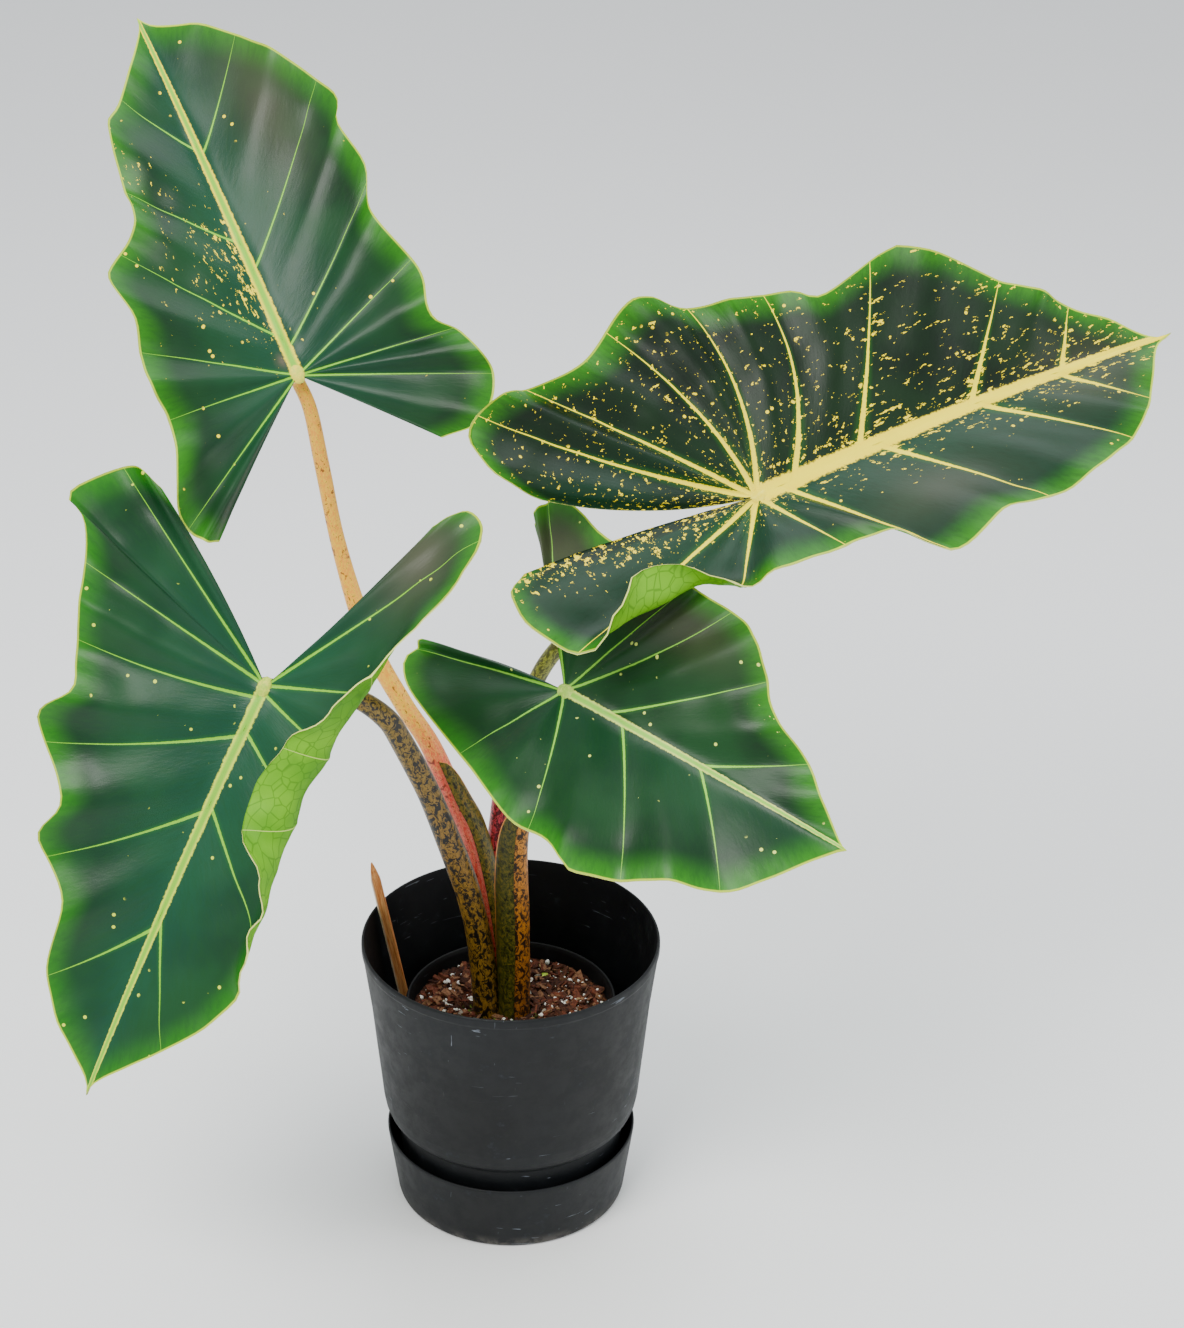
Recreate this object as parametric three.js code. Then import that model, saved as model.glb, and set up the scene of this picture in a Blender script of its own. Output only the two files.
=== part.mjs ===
import * as THREE from "three";

// Potted alocasia: four arrow-shaped leaves on long stalks, growing in a nursery pot that stands
// inside a taller tapered planter on its own saucer.
// Millimetres, +Z up. The pot axis is Z and the saucer stands on z = 0.

// ---- driving dimensions ----
const GAP = 0.3; // clearance kept between neighbouring pieces
const RING = 48; // flats round each pot

const SAUCER_H = 61;
const SAUCER_RIM_R = 102;
const SAUCER_BASE_R = 94;
const SAUCER_WALL = 2.4;

const PLANTER_H = 238;
const PLANTER_RIM_R = 120;
const PLANTER_FOOT_R = 88;
const PLANTER_WALL = 2.4;
const PLANTER_Z0 = SAUCER_WALL + GAP;

const POT_H = 174; // nursery pot
const POT_RIM_R = 85;
const POT_BASE_R = 62;
const POT_WALL = 1.4;
const POT_Z0 = PLANTER_Z0 + PLANTER_WALL + GAP;
const POT_TOP = POT_Z0 + POT_H;

const SOIL_EDGE_Z = 166;
const SOIL_TOP_Z = 171.5;

const BLADE_T = 1.2; // leaf thickness
const RIB_T = 3.2; // leaf thickness over the midrib
const CREASE = 14; // width over which each half of a leaf turns up from the midrib
const STALK_SIDES = 10;

// ---- materials ----
const paint = (color, roughness) =>
  new THREE.MeshStandardMaterial({ color, roughness, metalness: 0 });
const PLANTER_PLASTIC = 0x2b2f36;
const POT_PLASTIC = 0x1b1d21;
const LEAF_GREEN = 0x2f6b3a;
const LEAF_DARK = 0x27502a;

// ---- small helpers ----
const rad = THREE.MathUtils.degToRad;
const clamp01 = (t) => Math.min(1, Math.max(0, t));
const smooth = (t) => {
  const c = clamp01(t);
  return c * c * (3 - 2 * c);
};
const vec = (a) => new THREE.Vector3(a[0], a[1], a[2]);

// One closed body from corner points and triangles, turned so that its faces look outwards.
function body(name, points, faces, material) {
  let volume = 0;
  for (const [a, b, c] of faces) {
    const cross = new THREE.Vector3().crossVectors(points[b], points[c]);
    volume += points[a].dot(cross) / 6;
  }
  const order = volume < 0 ? faces.map(([a, b, c]) => [a, c, b]) : faces;
  const geometry = new THREE.BufferGeometry();
  const flat = points.flatMap((p) => [p.x, p.y, p.z]);
  geometry.setAttribute("position", new THREE.Float32BufferAttribute(flat, 3));
  geometry.setIndex(order.flat());
  geometry.computeVertexNormals();
  const mesh = new THREE.Mesh(geometry, material);
  mesh.name = name;
  return mesh;
}

// A body turned round the Z axis from [radius, height] pairs that begin and end on the axis.
// lift(x, y, k) may raise the points of ring k, for an uneven surface.
function turned(name, profile, material, lift = () => 0) {
  const points = [];
  const rings = [];
  profile.forEach(([r, z], k) => {
    const ring = [];
    const count = r === 0 ? 1 : RING;
    for (let i = 0; i < count; i++) {
      const a = (2 * Math.PI * i) / RING;
      const x = r * Math.cos(a);
      const y = r * Math.sin(a);
      ring.push(points.length);
      points.push(new THREE.Vector3(x, y, z + lift(x, y, k)));
    }
    rings.push(ring);
  });
  const faces = [];
  for (let k = 0; k + 1 < rings.length; k++) {
    const low = rings[k];
    const high = rings[k + 1];
    for (let i = 0; i < RING; i++) {
      const j = (i + 1) % RING;
      if (low.length === 1) faces.push([low[0], high[j], high[i]]);
      else if (high.length === 1) faces.push([low[i], low[j], high[0]]);
      else faces.push([low[i], low[j], high[j]], [low[i], high[j], high[i]]);
    }
  }
  return body(name, points, faces, material);
}

// ---- pots ----
function saucer() {
  const inner = SAUCER_RIM_R - SAUCER_WALL + 0.3;
  const profile = [
    [0, 0],
    [SAUCER_BASE_R - 3, 0],
    [SAUCER_BASE_R - 0.8, 1],
    [SAUCER_BASE_R + 0.3, 4],
    [SAUCER_RIM_R - 0.4, SAUCER_H - 5],
    [SAUCER_RIM_R, SAUCER_H - 1.2],
    [SAUCER_RIM_R - 0.9, SAUCER_H],
    [inner, SAUCER_H - 0.8],
    [SAUCER_BASE_R - SAUCER_WALL + 0.4, 5],
    [SAUCER_BASE_R - SAUCER_WALL - 1, SAUCER_WALL],
    [0, SAUCER_WALL],
  ];
  return turned("saucer", profile, paint(PLANTER_PLASTIC, 0.55));
}

function planter() {
  const z0 = PLANTER_Z0;
  const profile = [
    [0, z0],
    [PLANTER_FOOT_R - 2, z0],
    [PLANTER_FOOT_R, z0 + 2],
    [93, 74],
    [94.6, 76.6],
    [101, 82],
    [103.4, 88],
    [104.8, 96],
    [109.4, 144],
    [112.8, 180],
    [117.4, 216],
    [119.2, 229],
    [PLANTER_RIM_R, 233],
    [PLANTER_RIM_R, PLANTER_H - 1.4],
    [PLANTER_RIM_R - 1, PLANTER_H],
    [PLANTER_RIM_R - 2.4, PLANTER_H],
    [116.6, 229],
    [115, 216],
    [110.4, 180],
    [102.4, 96],
    [100.8, 88],
    [98.4, 83.6],
    [91.8, 78],
    [90.4, 73],
    [PLANTER_FOOT_R - PLANTER_WALL, z0 + PLANTER_WALL + 2],
    [PLANTER_FOOT_R - PLANTER_WALL - 2, z0 + PLANTER_WALL],
    [0, z0 + PLANTER_WALL],
  ];
  return turned("outer_pot", profile, paint(PLANTER_PLASTIC, 0.5));
}

function nurseryPot() {
  const inner = POT_RIM_R - 2 - POT_WALL;
  const profile = [
    [0, POT_Z0],
    [POT_BASE_R - 2, POT_Z0],
    [POT_BASE_R, POT_Z0 + 2],
    [POT_RIM_R - 2, POT_TOP - 5],
    [POT_RIM_R, POT_TOP - 4.4],
    [POT_RIM_R, POT_TOP - 0.6],
    [POT_RIM_R - 0.6, POT_TOP],
    [POT_RIM_R - 2, POT_TOP],
    [inner, POT_TOP - 3],
    [POT_BASE_R - POT_WALL, POT_Z0 + POT_WALL + 2],
    [POT_BASE_R - POT_WALL - 2, POT_Z0 + POT_WALL],
    [0, POT_Z0 + POT_WALL],
  ];
  return turned("inner_pot", profile, paint(POT_PLASTIC, 0.6));
}

// Potting mix, mounded towards the stalks and lumpy outside them.
function soil() {
  const z0 = POT_Z0 + POT_WALL + GAP;
  const wall = (z) => {
    const t = (z - POT_Z0 - POT_WALL - 2) / (POT_H - POT_WALL - 5);
    return POT_BASE_R - POT_WALL - GAP - 0.3 + t * (POT_RIM_R - 2 - POT_BASE_R);
  };
  const mound = (r) => SOIL_EDGE_Z + (SOIL_TOP_Z - SOIL_EDGE_Z) * smooth((76 - r) / 40);
  const profile = [
    [0, z0],
    [POT_BASE_R - POT_WALL - 3, z0],
    [wall(z0 + 3), z0 + 3],
    [wall(SOIL_EDGE_Z), SOIL_EDGE_Z],
  ];
  for (const r of [74, 66, 58, 50, 42, 32]) profile.push([r, mound(r)]);
  profile.push([0, SOIL_TOP_Z]);
  const lumps = (x, y, k) => {
    if (k < 4 || Math.hypot(x, y) < 34) return 0;
    return 1.3 * Math.sin(x * 0.31 + 1.3 * Math.sin(y * 0.27)) * Math.cos(y * 0.36 - 0.5);
  };
  return turned("soil", profile, paint(0x4a2c1e, 0.95), lumps);
}

// ---- leaf blades ----
// Each blade is drawn flat first: u runs along the midrib (0 at the stalk, positive to the tip) and
// v runs outwards from it. Each half then turns up by "cup" degrees, rolls over by "curl" degrees
// between the two "roll" distances, and waves between its side veins. Bends are in degrees over
// one blade length. veins: [place on the midrib, share of the margin, bow]. cup and curl: [u, degrees].
const LEAVES = [
  {
    name: "leaf_upper_left_blade",
    color: LEAF_GREEN,
    attach: [-159, 40, 705],
    along: [-0.41, 0.49, 0.77],
    face: [0.12, -0.8, 0.58],
    length: 315,
    lobeBend: -14,
    tipBend: -16,
    left: {
      rows: [0.22, 0.45, 0.68, 0.86, 1],
      wave: 5,
      cup: [[-200, 14], [300, 14]],
      curl: [[-200, 0], [300, 0]],
      roll: [40, 130],
      sinus: [-4, 8],
      veins: [
        [190, 0.16, 0.05], [110, 0.34, 0.03], [30, 0.46, 0.01], [0, 0.64, 0], [0, 0.76, 0],
        [0, 0.94, 0],
      ],
      margin: [
        [315, 0], [300, 5], [250, 40], [225, 60], [150, 70], [115, 105], [75, 100], [30, 110],
        [-5, 105], [-60, 125], [-90, 120], [-95, 105],
      ],
    },
    right: {
      rows: [0.22, 0.45, 0.68, 0.86, 1],
      wave: 5,
      cup: [[-200, 14], [300, 14]],
      curl: [[-200, 0], [300, 0]],
      roll: [40, 130],
      sinus: [-8, 8],
      veins: [
        [185, 0.16, 0.03], [85, 0.31, 0.03], [20, 0.5, 0.02], [0, 0.64, 0], [0, 0.77, 0],
        [0, 0.86, 0],
      ],
      margin: [
        [315, 0], [300, 15], [270, 60], [190, 110], [160, 105], [125, 110], [90, 100], [35, 115],
        [0, 110], [-20, 125], [-55, 135], [-85, 115], [-85, 80],
      ],
    },
  },
  {
    name: "leaf_right_blade",
    color: LEAF_DARK,
    attach: [183, -12, 634],
    along: [0.89, 0.32, 0.31],
    face: [-0.05, -0.62, 0.78],
    length: 360,
    lobeBend: 44,
    tipBend: -14,
    left: {
      rows: [0.22, 0.45, 0.68, 0.86, 1],
      wave: 6,
      cup: [[-200, 18], [300, 18]],
      curl: [[-200, 0], [300, 0]],
      roll: [40, 130],
      sinus: [-8, -10],
      veins: [
        [260, 0.12, 0], [180, 0.2, 0], [85, 0.35, -0.02], [30, 0.48, -0.1], [0, 0.56, -0.09],
        [0, 0.67, -0.08], [0, 0.79, -0.04], [0, 0.86, 0],
      ],
      margin: [
        [360, 0], [340, 5], [275, 60], [195, 125], [170, 135], [110, 120], [85, 135], [20, 150],
        [-10, 170], [-35, 170], [-90, 140], [-165, 135], [-200, 110], [-190, 80], [-155, 55],
      ],
    },
    right: {
      rows: [0.3, 0.48, 0.6, 0.72, 0.86, 1],
      wave: 4,
      cup: [[-200, 10], [0, 16], [300, 10]],
      curl: [[-230, 0], [-195, 10], [-160, 90], [-130, 130], [-95, 125], [-65, 90], [-35, 30], [10, 0], [300, 0]],
      roll: [46, 88],
      sinus: [0, -14],
      veins: [
        [255, 0.1, 0], [185, 0.16, 0], [100, 0.29, 0], [20, 0.42, 0], [0, 0.53, 0], [0, 0.66, 0],
        [0, 0.86, 0],
      ],
      margin: [
        [360, 0], [340, 10], [305, 55], [270, 80], [215, 100], [155, 100], [105, 115], [55, 75],
        [-45, 80], [-115, 100], [-175, 85], [-215, 45], [-210, 10], [-190, -5],
      ],
    },
  },
  {
    name: "leaf_lower_left_blade",
    color: LEAF_GREEN,
    attach: [-173, -130, 534],
    along: [-0.42, -0.39, -0.82],
    face: [-0.2, -0.84, 0.5],
    length: 335,
    lobeBend: -12,
    tipBend: -12,
    left: {
      rows: [0.25, 0.42, 0.54, 0.65, 0.76, 0.88, 1],
      wave: 0,
      cup: [[-200, 14], [300, 12]],
      curl: [
        [-180, 0], [-130, 25], [-90, 50], [-50, 75], [-10, 100], [25, 140], [60, 165], [88, 160],
        [115, 105], [140, 85], [160, 105], [186, 75], [212, 15], [300, 0],
      ],
      roll: [52, 112],
      sinus: [-8, 10],
      veins: [
        [185, 0.13, -0.03], [95, 0.33, -0.03], [35, 0.47, -0.03], [5, 0.58, -0.03], [0, 0.7, 0],
        [0, 0.9, 0],
      ],
      margin: [
        [335, 0], [320, 5], [260, 55], [220, 80], [150, 100], [85, 120], [5, 120], [-125, 115],
        [-165, 105], [-175, 85], [-155, 65],
      ],
    },
    right: {
      rows: [0.22, 0.45, 0.68, 0.86, 1],
      wave: 6,
      cup: [[-200, 14], [300, 14]],
      curl: [[-200, 0], [300, 0]],
      roll: [40, 130],
      sinus: [-6, -6],
      veins: [
        [195, 0.17, -0.03], [100, 0.34, -0.03], [40, 0.51, -0.03], [10, 0.67, -0.03], [0, 0.77, 0],
        [0, 0.94, 0],
      ],
      margin: [
        [335, 0], [320, 10], [265, 60], [205, 70], [170, 105], [135, 100], [90, 140], [60, 125],
        [35, 135], [-45, 165], [-60, 185], [-75, 180], [-100, 155], [-95, 130],
      ],
    },
  },
  {
    name: "leaf_lower_right_blade",
    color: LEAF_GREEN,
    attach: [42, -80, 506],
    along: [0.77, -0.63, -0.12],
    face: [-0.38, -0.6, 0.7],
    length: 250,
    lobeBend: -10,
    tipBend: -16,
    left: {
      rows: [0.22, 0.45, 0.68, 0.86, 1],
      wave: 5,
      cup: [[-200, 12], [300, 12]],
      curl: [[-200, 0], [300, 0]],
      roll: [40, 130],
      sinus: [0, 6],
      veins: [
        [125, 0.17, -0.03], [40, 0.34, -0.03], [0, 0.49, -0.05], [0, 0.59, 0], [0, 0.95, 0],
      ],
      margin: [
        [250, 0], [240, 5], [195, 40], [150, 65], [120, 100], [85, 110], [-15, 115], [-60, 125],
        [-85, 125], [-90, 100],
      ],
    },
    right: {
      rows: [0.22, 0.45, 0.68, 0.86, 1],
      wave: 5,
      cup: [[-200, 12], [300, 12]],
      curl: [[-200, 0], [300, 0]],
      roll: [40, 130],
      sinus: [0, -6],
      veins: [
        [125, 0.2, -0.03], [55, 0.35, -0.03], [0, 0.53, -0.03], [0, 0.72, 0], [0, 0.97, 0],
      ],
      margin: [
        [250, 0], [240, 10], [200, 65], [150, 90], [100, 115], [85, 115], [60, 105], [25, 105],
        [-30, 85], [-105, 60], [-135, 40], [-135, 25], [-125, 15],
      ],
    },
  },
];

// Smooth value between stations [[place, value], ...].
function between(stations, x) {
  let k = 0;
  while (k < stations.length - 2 && x > stations[k + 1][0]) k += 1;
  const [x0, y0] = stations[k];
  const [x1, y1] = stations[k + 1];
  return y0 + (y1 - y0) * smooth((x - x0) / (x1 - x0));
}

// Straight value between entries of a list, at a fractional place in it.
function entry(list, place) {
  const k = Math.min(list.length - 2, Math.floor(place));
  return list[k] + (list[k + 1] - list[k]) * (place - k);
}

// Smooth curve through the margin points, with each point's share of its length.
function marginCurve(points) {
  const n = points.length;
  const at = (i) => {
    if (i < 0) return [2 * points[0][0] - points[1][0], 2 * points[0][1] - points[1][1]];
    if (i < n) return points[i];
    return [2 * points[n - 1][0] - points[n - 2][0], 2 * points[n - 1][1] - points[n - 2][1]];
  };
  const curve = [];
  for (let i = 0; i < n - 1; i++) {
    const [a, b, c, d] = [at(i - 1), at(i), at(i + 1), at(i + 2)];
    for (let k = 0; k < 10; k++) {
      const t = k / 10;
      const mix = (j) =>
        0.5 *
        (2 * b[j] +
          (c[j] - a[j]) * t +
          (2 * a[j] - 5 * b[j] + 4 * c[j] - d[j]) * t * t +
          (3 * b[j] - a[j] - 3 * c[j] + d[j]) * t * t * t);
      curve.push([mix(0), mix(1)]);
    }
  }
  curve.push(points[n - 1]);
  const share = [0];
  for (let i = 1; i < curve.length; i++) {
    const step = Math.hypot(curve[i][0] - curve[i - 1][0], curve[i][1] - curve[i - 1][1]);
    share.push(share[i - 1] + step);
  }
  const whole = share[share.length - 1];
  return (f) => {
    let i = 1;
    while (i < curve.length - 1 && share[i] < f * whole) i += 1;
    const t = clamp01((f * whole - share[i - 1]) / (share[i] - share[i - 1]));
    return [0, 1].map((j) => curve[i - 1][j] + (curve[i][j] - curve[i - 1][j]) * t);
  };
}

// Where a leaf's flat point (u along the midrib, w across, right positive) lies in space.
function bladePoint(leaf, u, w) {
  const along = vec(leaf.along).normalize();
  const face = vec(leaf.face);
  face.addScaledVector(along, -face.dot(along)).normalize();
  const right = new THREE.Vector3().crossVectors(along, face);
  const bend = rad(u > 0 ? leaf.tipBend : leaf.lobeBend) / leaf.length;
  const turn = bend * u;
  const forward = Math.sin(turn) / bend;
  const rise = (1 - Math.cos(turn)) / bend;
  const half = w < 0 ? leaf.left : leaf.right;
  const cup = rad(between(half.cup, u));
  const curl = rad(between(half.curl, u));
  const reach = Math.abs(w);
  const steps = 24;
  let out = 0;
  let up = 0;
  for (let k = 0; k < steps; k++) {
    const t = ((k + 0.5) / steps) * reach;
    const [r0, r1] = half.roll;
    const angle = cup * smooth(t / CREASE) + curl * smooth((t - r0) / (r1 - r0));
    out += (Math.cos(angle) * reach) / steps;
    up += (Math.sin(angle) * reach) / steps;
  }
  return vec(leaf.attach)
    .addScaledVector(along, forward - Math.sin(turn) * up)
    .addScaledVector(face, rise + Math.cos(turn) * up)
    .addScaledVector(right, (w < 0 ? -1 : 1) * out);
}

// Which way the blade's upper side looks at a flat point.
function bladeNormal(leaf, u, w) {
  const e = 0.5;
  const s = w < 0 ? -1 : 1;
  const v = Math.max(Math.abs(w), e) * s;
  const du = bladePoint(leaf, u + e, w).sub(bladePoint(leaf, u - e, w));
  const dv = bladePoint(leaf, u, v + s * 0.4).sub(bladePoint(leaf, u, v - s * 0.4));
  return new THREE.Vector3().crossVectors(dv, du).multiplyScalar(s).normalize();
}

// One half of a blade: points by vein place q (0 at the tip) and m (0 at the midrib, 1 at the margin).
function bladeHalf(leaf, name) {
  const half = leaf[name];
  const side = name === "left" ? -1 : 1;
  const edge = marginCurve(half.margin);
  const veins = [[leaf.length, 0, 0], ...half.veins, [0, 1, 0]];
  const last = veins.length - 1;
  const column = (k) => veins.map((v) => v[k]);
  const rib = (q) => entry(column(0), q);
  const point = (q, m) => {
    const foot = rib(q);
    const [mu, mv] = edge(entry(column(1), q));
    const du = mu - foot;
    const span = Math.hypot(du, mv);
    const notch = smooth(q - (last - 1));
    const cu = foot + du * 0.5 - 2 * entry(column(2), q) * span + notch * half.sinus[0];
    const cv = mv * 0.5 + notch * half.sinus[1];
    const u = (1 - m) ** 2 * foot + 2 * m * (1 - m) * cu + m * m * mu;
    const v = 2 * m * (1 - m) * cv + m * m * mv;
    const ripple = -half.wave * m * m * Math.cos(2 * Math.PI * q) * clamp01(q);
    const p = bladePoint(leaf, u, side * v);
    return p.addScaledVector(bladeNormal(leaf, u, side * v), ripple);
  };
  const places = [];
  for (let k = 0; k < last; k++) {
    const cuts = k === 0 ? 6 : 3;
    for (let i = 1; i <= cuts; i++) places.push(k + i / cuts);
  }
  return { rib, point, places, rows: half.rows };
}

// The whole blade: both halves share the midrib, and the sheet is given its thickness.
function blade(leaf) {
  const halves = ["left", "right"].map((name) => bladeHalf(leaf, name));
  const ribs = halves.flatMap((h) => h.places.map((q) => Math.round(h.rib(q) * 10) / 10));
  const stops = [...new Set([...ribs, 0])].sort((a, b) => b - a);
  const spread = stops.filter((u, i) => i === 0 || u === 0 || stops[i - 1] - u > 4);
  const points = [bladePoint(leaf, leaf.length, 0)];
  const thick = [BLADE_T];
  const midrib = [0];
  for (const u of spread) {
    midrib.push(points.length);
    points.push(bladePoint(leaf, u, 0));
    thick.push(RIB_T - (RIB_T - BLADE_T) * smooth(u / leaf.length));
  }
  const midribPlace = [0, ...spread.map((u) => 1 - u / leaf.length)];
  const faces = [];
  const rims = [];
  halves.forEach((h, which) => {
    const flip = which === 0;
    const add = (a, b, c) => faces.push(flip ? [a, c, b] : [a, b, c]);
    const grid = h.rows.map((m) => {
      const row = [0];
      for (const q of h.places) {
        row.push(points.length);
        points.push(h.point(q, m));
        thick.push(BLADE_T);
      }
      return row;
    });
    const rowPlace = [0, ...h.places.map((q) => 1 - h.rib(q) / leaf.length)];
    let i = 0;
    let j = 0;
    while (i < midrib.length - 1 || j < grid[0].length - 1) {
      const stepRib =
        j === grid[0].length - 1 || (i < midrib.length - 1 && midribPlace[i + 1] <= rowPlace[j + 1] + 1e-6);
      if (stepRib && i === 0 && j === 0) {
        add(midrib[0], midrib[1], grid[0][1]);
        i = 1;
        j = 1;
      } else if (stepRib) {
        add(midrib[i], midrib[i + 1], grid[0][j]);
        i += 1;
      } else {
        if (j === 0) add(midrib[0], midrib[1], grid[0][1]);
        else add(midrib[i], grid[0][j + 1], grid[0][j]);
        if (j === 0) i = 1;
        j += 1;
      }
    }
    for (let k = 0; k + 1 < grid.length; k++) {
      add(0, grid[k][1], grid[k + 1][1]);
      for (let c = 1; c + 1 < grid[k].length; c++) {
        add(grid[k][c], grid[k + 1][c + 1], grid[k + 1][c]);
        add(grid[k][c], grid[k][c + 1], grid[k + 1][c + 1]);
      }
    }
    rims.push(grid);
  });
  return thickened(leaf.name, points, faces, thick, paint(leaf.color, 0.38));
}

// Gives a sheet its thickness: two sides set off along the mean normals, joined round the rim.
function thickened(name, points, faces, thick, material) {
  const normals = points.map(() => new THREE.Vector3());
  for (const [a, b, c] of faces) {
    const n = new THREE.Vector3()
      .subVectors(points[b], points[a])
      .cross(new THREE.Vector3().subVectors(points[c], points[a]));
    for (const i of [a, b, c]) normals[i].add(n);
  }
  normals.forEach((n) => n.normalize());
  const n = points.length;
  const shell = [1, -1].flatMap((s) =>
    points.map((p, i) => p.clone().addScaledVector(normals[i], (s * thick[i]) / 2)),
  );
  const all = faces.flatMap(([a, b, c]) => [[a, b, c], [a + n, c + n, b + n]]);
  const used = new Set(faces.flatMap(([a, b, c]) => [`${a},${b}`, `${b},${c}`, `${c},${a}`]));
  for (const pair of used) {
    const [a, b] = pair.split(",").map(Number);
    if (used.has(`${b},${a}`)) continue;
    all.push([b, a, a + n], [b, a + n, b + n]);
  }
  return body(name, shell, all, material);
}

// ---- leaf stalks ----
// Each stalk runs through its points from the soil to just under its blade; radii by share of length.
const FOOT_Z = SOIL_TOP_Z + GAP;
const STALKS = [
  {
    name: "petiole_upper_left",
    leaf: 0,
    color: 0xc8923a,
    path: [
      [-8, 10, FOOT_Z], [-16, 11, 236], [-23, 13, 283], [-33, 16, 327], [-45, 18, 354], [-64, 22, 401],
      [-85, 26, 436], [-111, 33, 487], [-132, 44, 559], [-144, 50, 625], [-152, 52, 672],
    ],
    radii: [[0, 9.5], [0.3, 9], [0.55, 7.5], [0.8, 5.8], [1, 5.4]],
  },
  {
    name: "petiole_right",
    leaf: 1,
    color: 0x9a4a3c,
    path: [
      [4, 32, FOOT_Z], [-2, 32, 209], [-8, 31, 255], [-12, 31, 301], [-10, 31, 329], [-4, 30, 375],
      [7, 30, 420], [24, 30, 466], [49, 28, 501], [83, 26, 537], [128, 20, 579],
    ],
    radii: [[0, 9], [0.3, 8], [0.6, 6.5], [1, 5.6]],
  },
  {
    name: "petiole_lower_left",
    leaf: 2,
    color: 0x5a4a24,
    path: [
      [-19, -10, FOOT_Z], [-24, -10, 231], [-32, -13, 280], [-41, -18, 316], [-54, -27, 362], [-65, -35, 398],
      [-82, -50, 446], [-92, -60, 470], [-110, -74, 493], [-130, -92, 510],
    ],
    radii: [[0, 10.5], [0.35, 10], [0.7, 8.5], [0.85, 7], [1, 6]],
  },
  {
    name: "petiole_lower_right",
    leaf: 3,
    color: 0x6e4a22,
    path: [
      [4, -9, FOOT_Z], [5, -12, 252], [4, -16, 301], [5, -22, 342], [9, -30, 382], [16, -42, 425],
      [28, -60, 468],
    ],
    radii: [[0, 11], [0.5, 9.5], [0.75, 7.5], [1, 5.6]],
  },
];

function stalk(spec) {
  const leaf = LEAVES[spec.leaf];
  const top = vec(leaf.attach);
  const along = vec(leaf.along).normalize();
  const face = vec(leaf.face);
  face.addScaledVector(along, -face.dot(along)).normalize();
  const under = [16, RIB_T / 2 + GAP + 0.3].map((d) => top.clone().addScaledVector(face, -d));
  const curve = new THREE.CatmullRomCurve3([...spec.path.map(vec), ...under], false, "centripetal");
  const stations = 20;
  const points = [];
  const faces = [];
  let across = new THREE.Vector3(1, 0, 0);
  for (let k = 0; k <= stations; k++) {
    const t = k / stations;
    const centre = curve.getPointAt(t);
    const heading = curve.getTangentAt(t);
    if (k === 0) heading.set(0, 0, 1);
    if (k === stations) heading.copy(face);
    across.addScaledVector(heading, -across.dot(heading)).normalize();
    const other = new THREE.Vector3().crossVectors(heading, across);
    const r = between(spec.radii, t);
    for (let i = 0; i < STALK_SIDES; i++) {
      const a = (2 * Math.PI * i) / STALK_SIDES;
      const p = centre.clone().addScaledVector(across, r * Math.cos(a));
      points.push(p.addScaledVector(other, r * Math.sin(a)));
    }
  }
  for (let k = 0; k < stations; k++) {
    for (let i = 0; i < STALK_SIDES; i++) {
      const j = (i + 1) % STALK_SIDES;
      const [a, b] = [k * STALK_SIDES, (k + 1) * STALK_SIDES];
      faces.push([a + i, a + j, b + j], [a + i, b + j, b + i]);
    }
  }
  for (let i = 1; i < STALK_SIDES - 1; i++) {
    const b = stations * STALK_SIDES;
    faces.push([0, i + 1, i], [b, b + i, b + i + 1]);
  }
  return body(spec.name, points, faces, paint(spec.color, 0.45));
}

// ---- wooden stick in the gap between the two pots ----
function stick() {
  const foot = new THREE.Vector3(-62.8, 37, 14);
  const top = new THREE.Vector3(-113.5, 37, 283);
  const length = foot.distanceTo(top);
  const shape = new THREE.Shape();
  shape.moveTo(-3.8, 0);
  shape.lineTo(3.8, 0);
  shape.lineTo(3.8, length - 16);
  shape.lineTo(0.6, length);
  shape.lineTo(-0.6, length);
  shape.lineTo(-3.8, length - 16);
  const geometry = new THREE.ExtrudeGeometry(shape, { depth: 5, bevelEnabled: false });
  geometry.translate(0, 0, -2.5);
  const mesh = new THREE.Mesh(geometry, paint(0xd08a4a, 0.7));
  const up = top.clone().sub(foot).normalize();
  const across = new THREE.Vector3(0, 1, 0).cross(up).normalize();
  const out = new THREE.Vector3().crossVectors(across, up);
  mesh.applyMatrix4(new THREE.Matrix4().makeBasis(across, up, out));
  mesh.position.copy(foot);
  mesh.name = "wooden_stick";
  return mesh;
}

// ---- loose pieces lying on the potting mix ----
const soilTop = (x, y) => {
  const r = Math.hypot(x, y);
  const mound = SOIL_EDGE_Z + (SOIL_TOP_Z - SOIL_EDGE_Z) * smooth((76 - r) / 40);
  return mound + 1.3 + GAP;
};

function barkChip(k, x, y, turn, long) {
  const chip = new THREE.BoxGeometry(long, long * 0.55, 3.4);
  chip.rotateZ(turn);
  chip.translate(x, y, soilTop(x, y) + 1.9 + GAP);
  const mesh = new THREE.Mesh(chip, paint(0x5b3322, 0.95));
  mesh.name = `bark_chip_${k}`;
  return mesh;
}

function perlite(k, x, y, r) {
  const grain = new THREE.IcosahedronGeometry(r, 0);
  grain.scale(1, 1.2, 0.85);
  grain.rotateZ(k);
  grain.translate(x, y, soilTop(x, y) + r + GAP);
  const mesh = new THREE.Mesh(grain, paint(0xe9e6df, 0.9));
  mesh.name = `perlite_${k}`;
  return mesh;
}

function leafScrap() {
  const scrap = new THREE.CylinderGeometry(5.5, 5.5, 1.2, 10);
  scrap.rotateX(Math.PI / 2);
  scrap.scale(1, 0.75, 1);
  scrap.translate(24, 46, soilTop(24, 46) + 1);
  const mesh = new THREE.Mesh(scrap, paint(0xa9c24a, 0.6));
  mesh.name = "leaf_scrap";
  return mesh;
}

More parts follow.
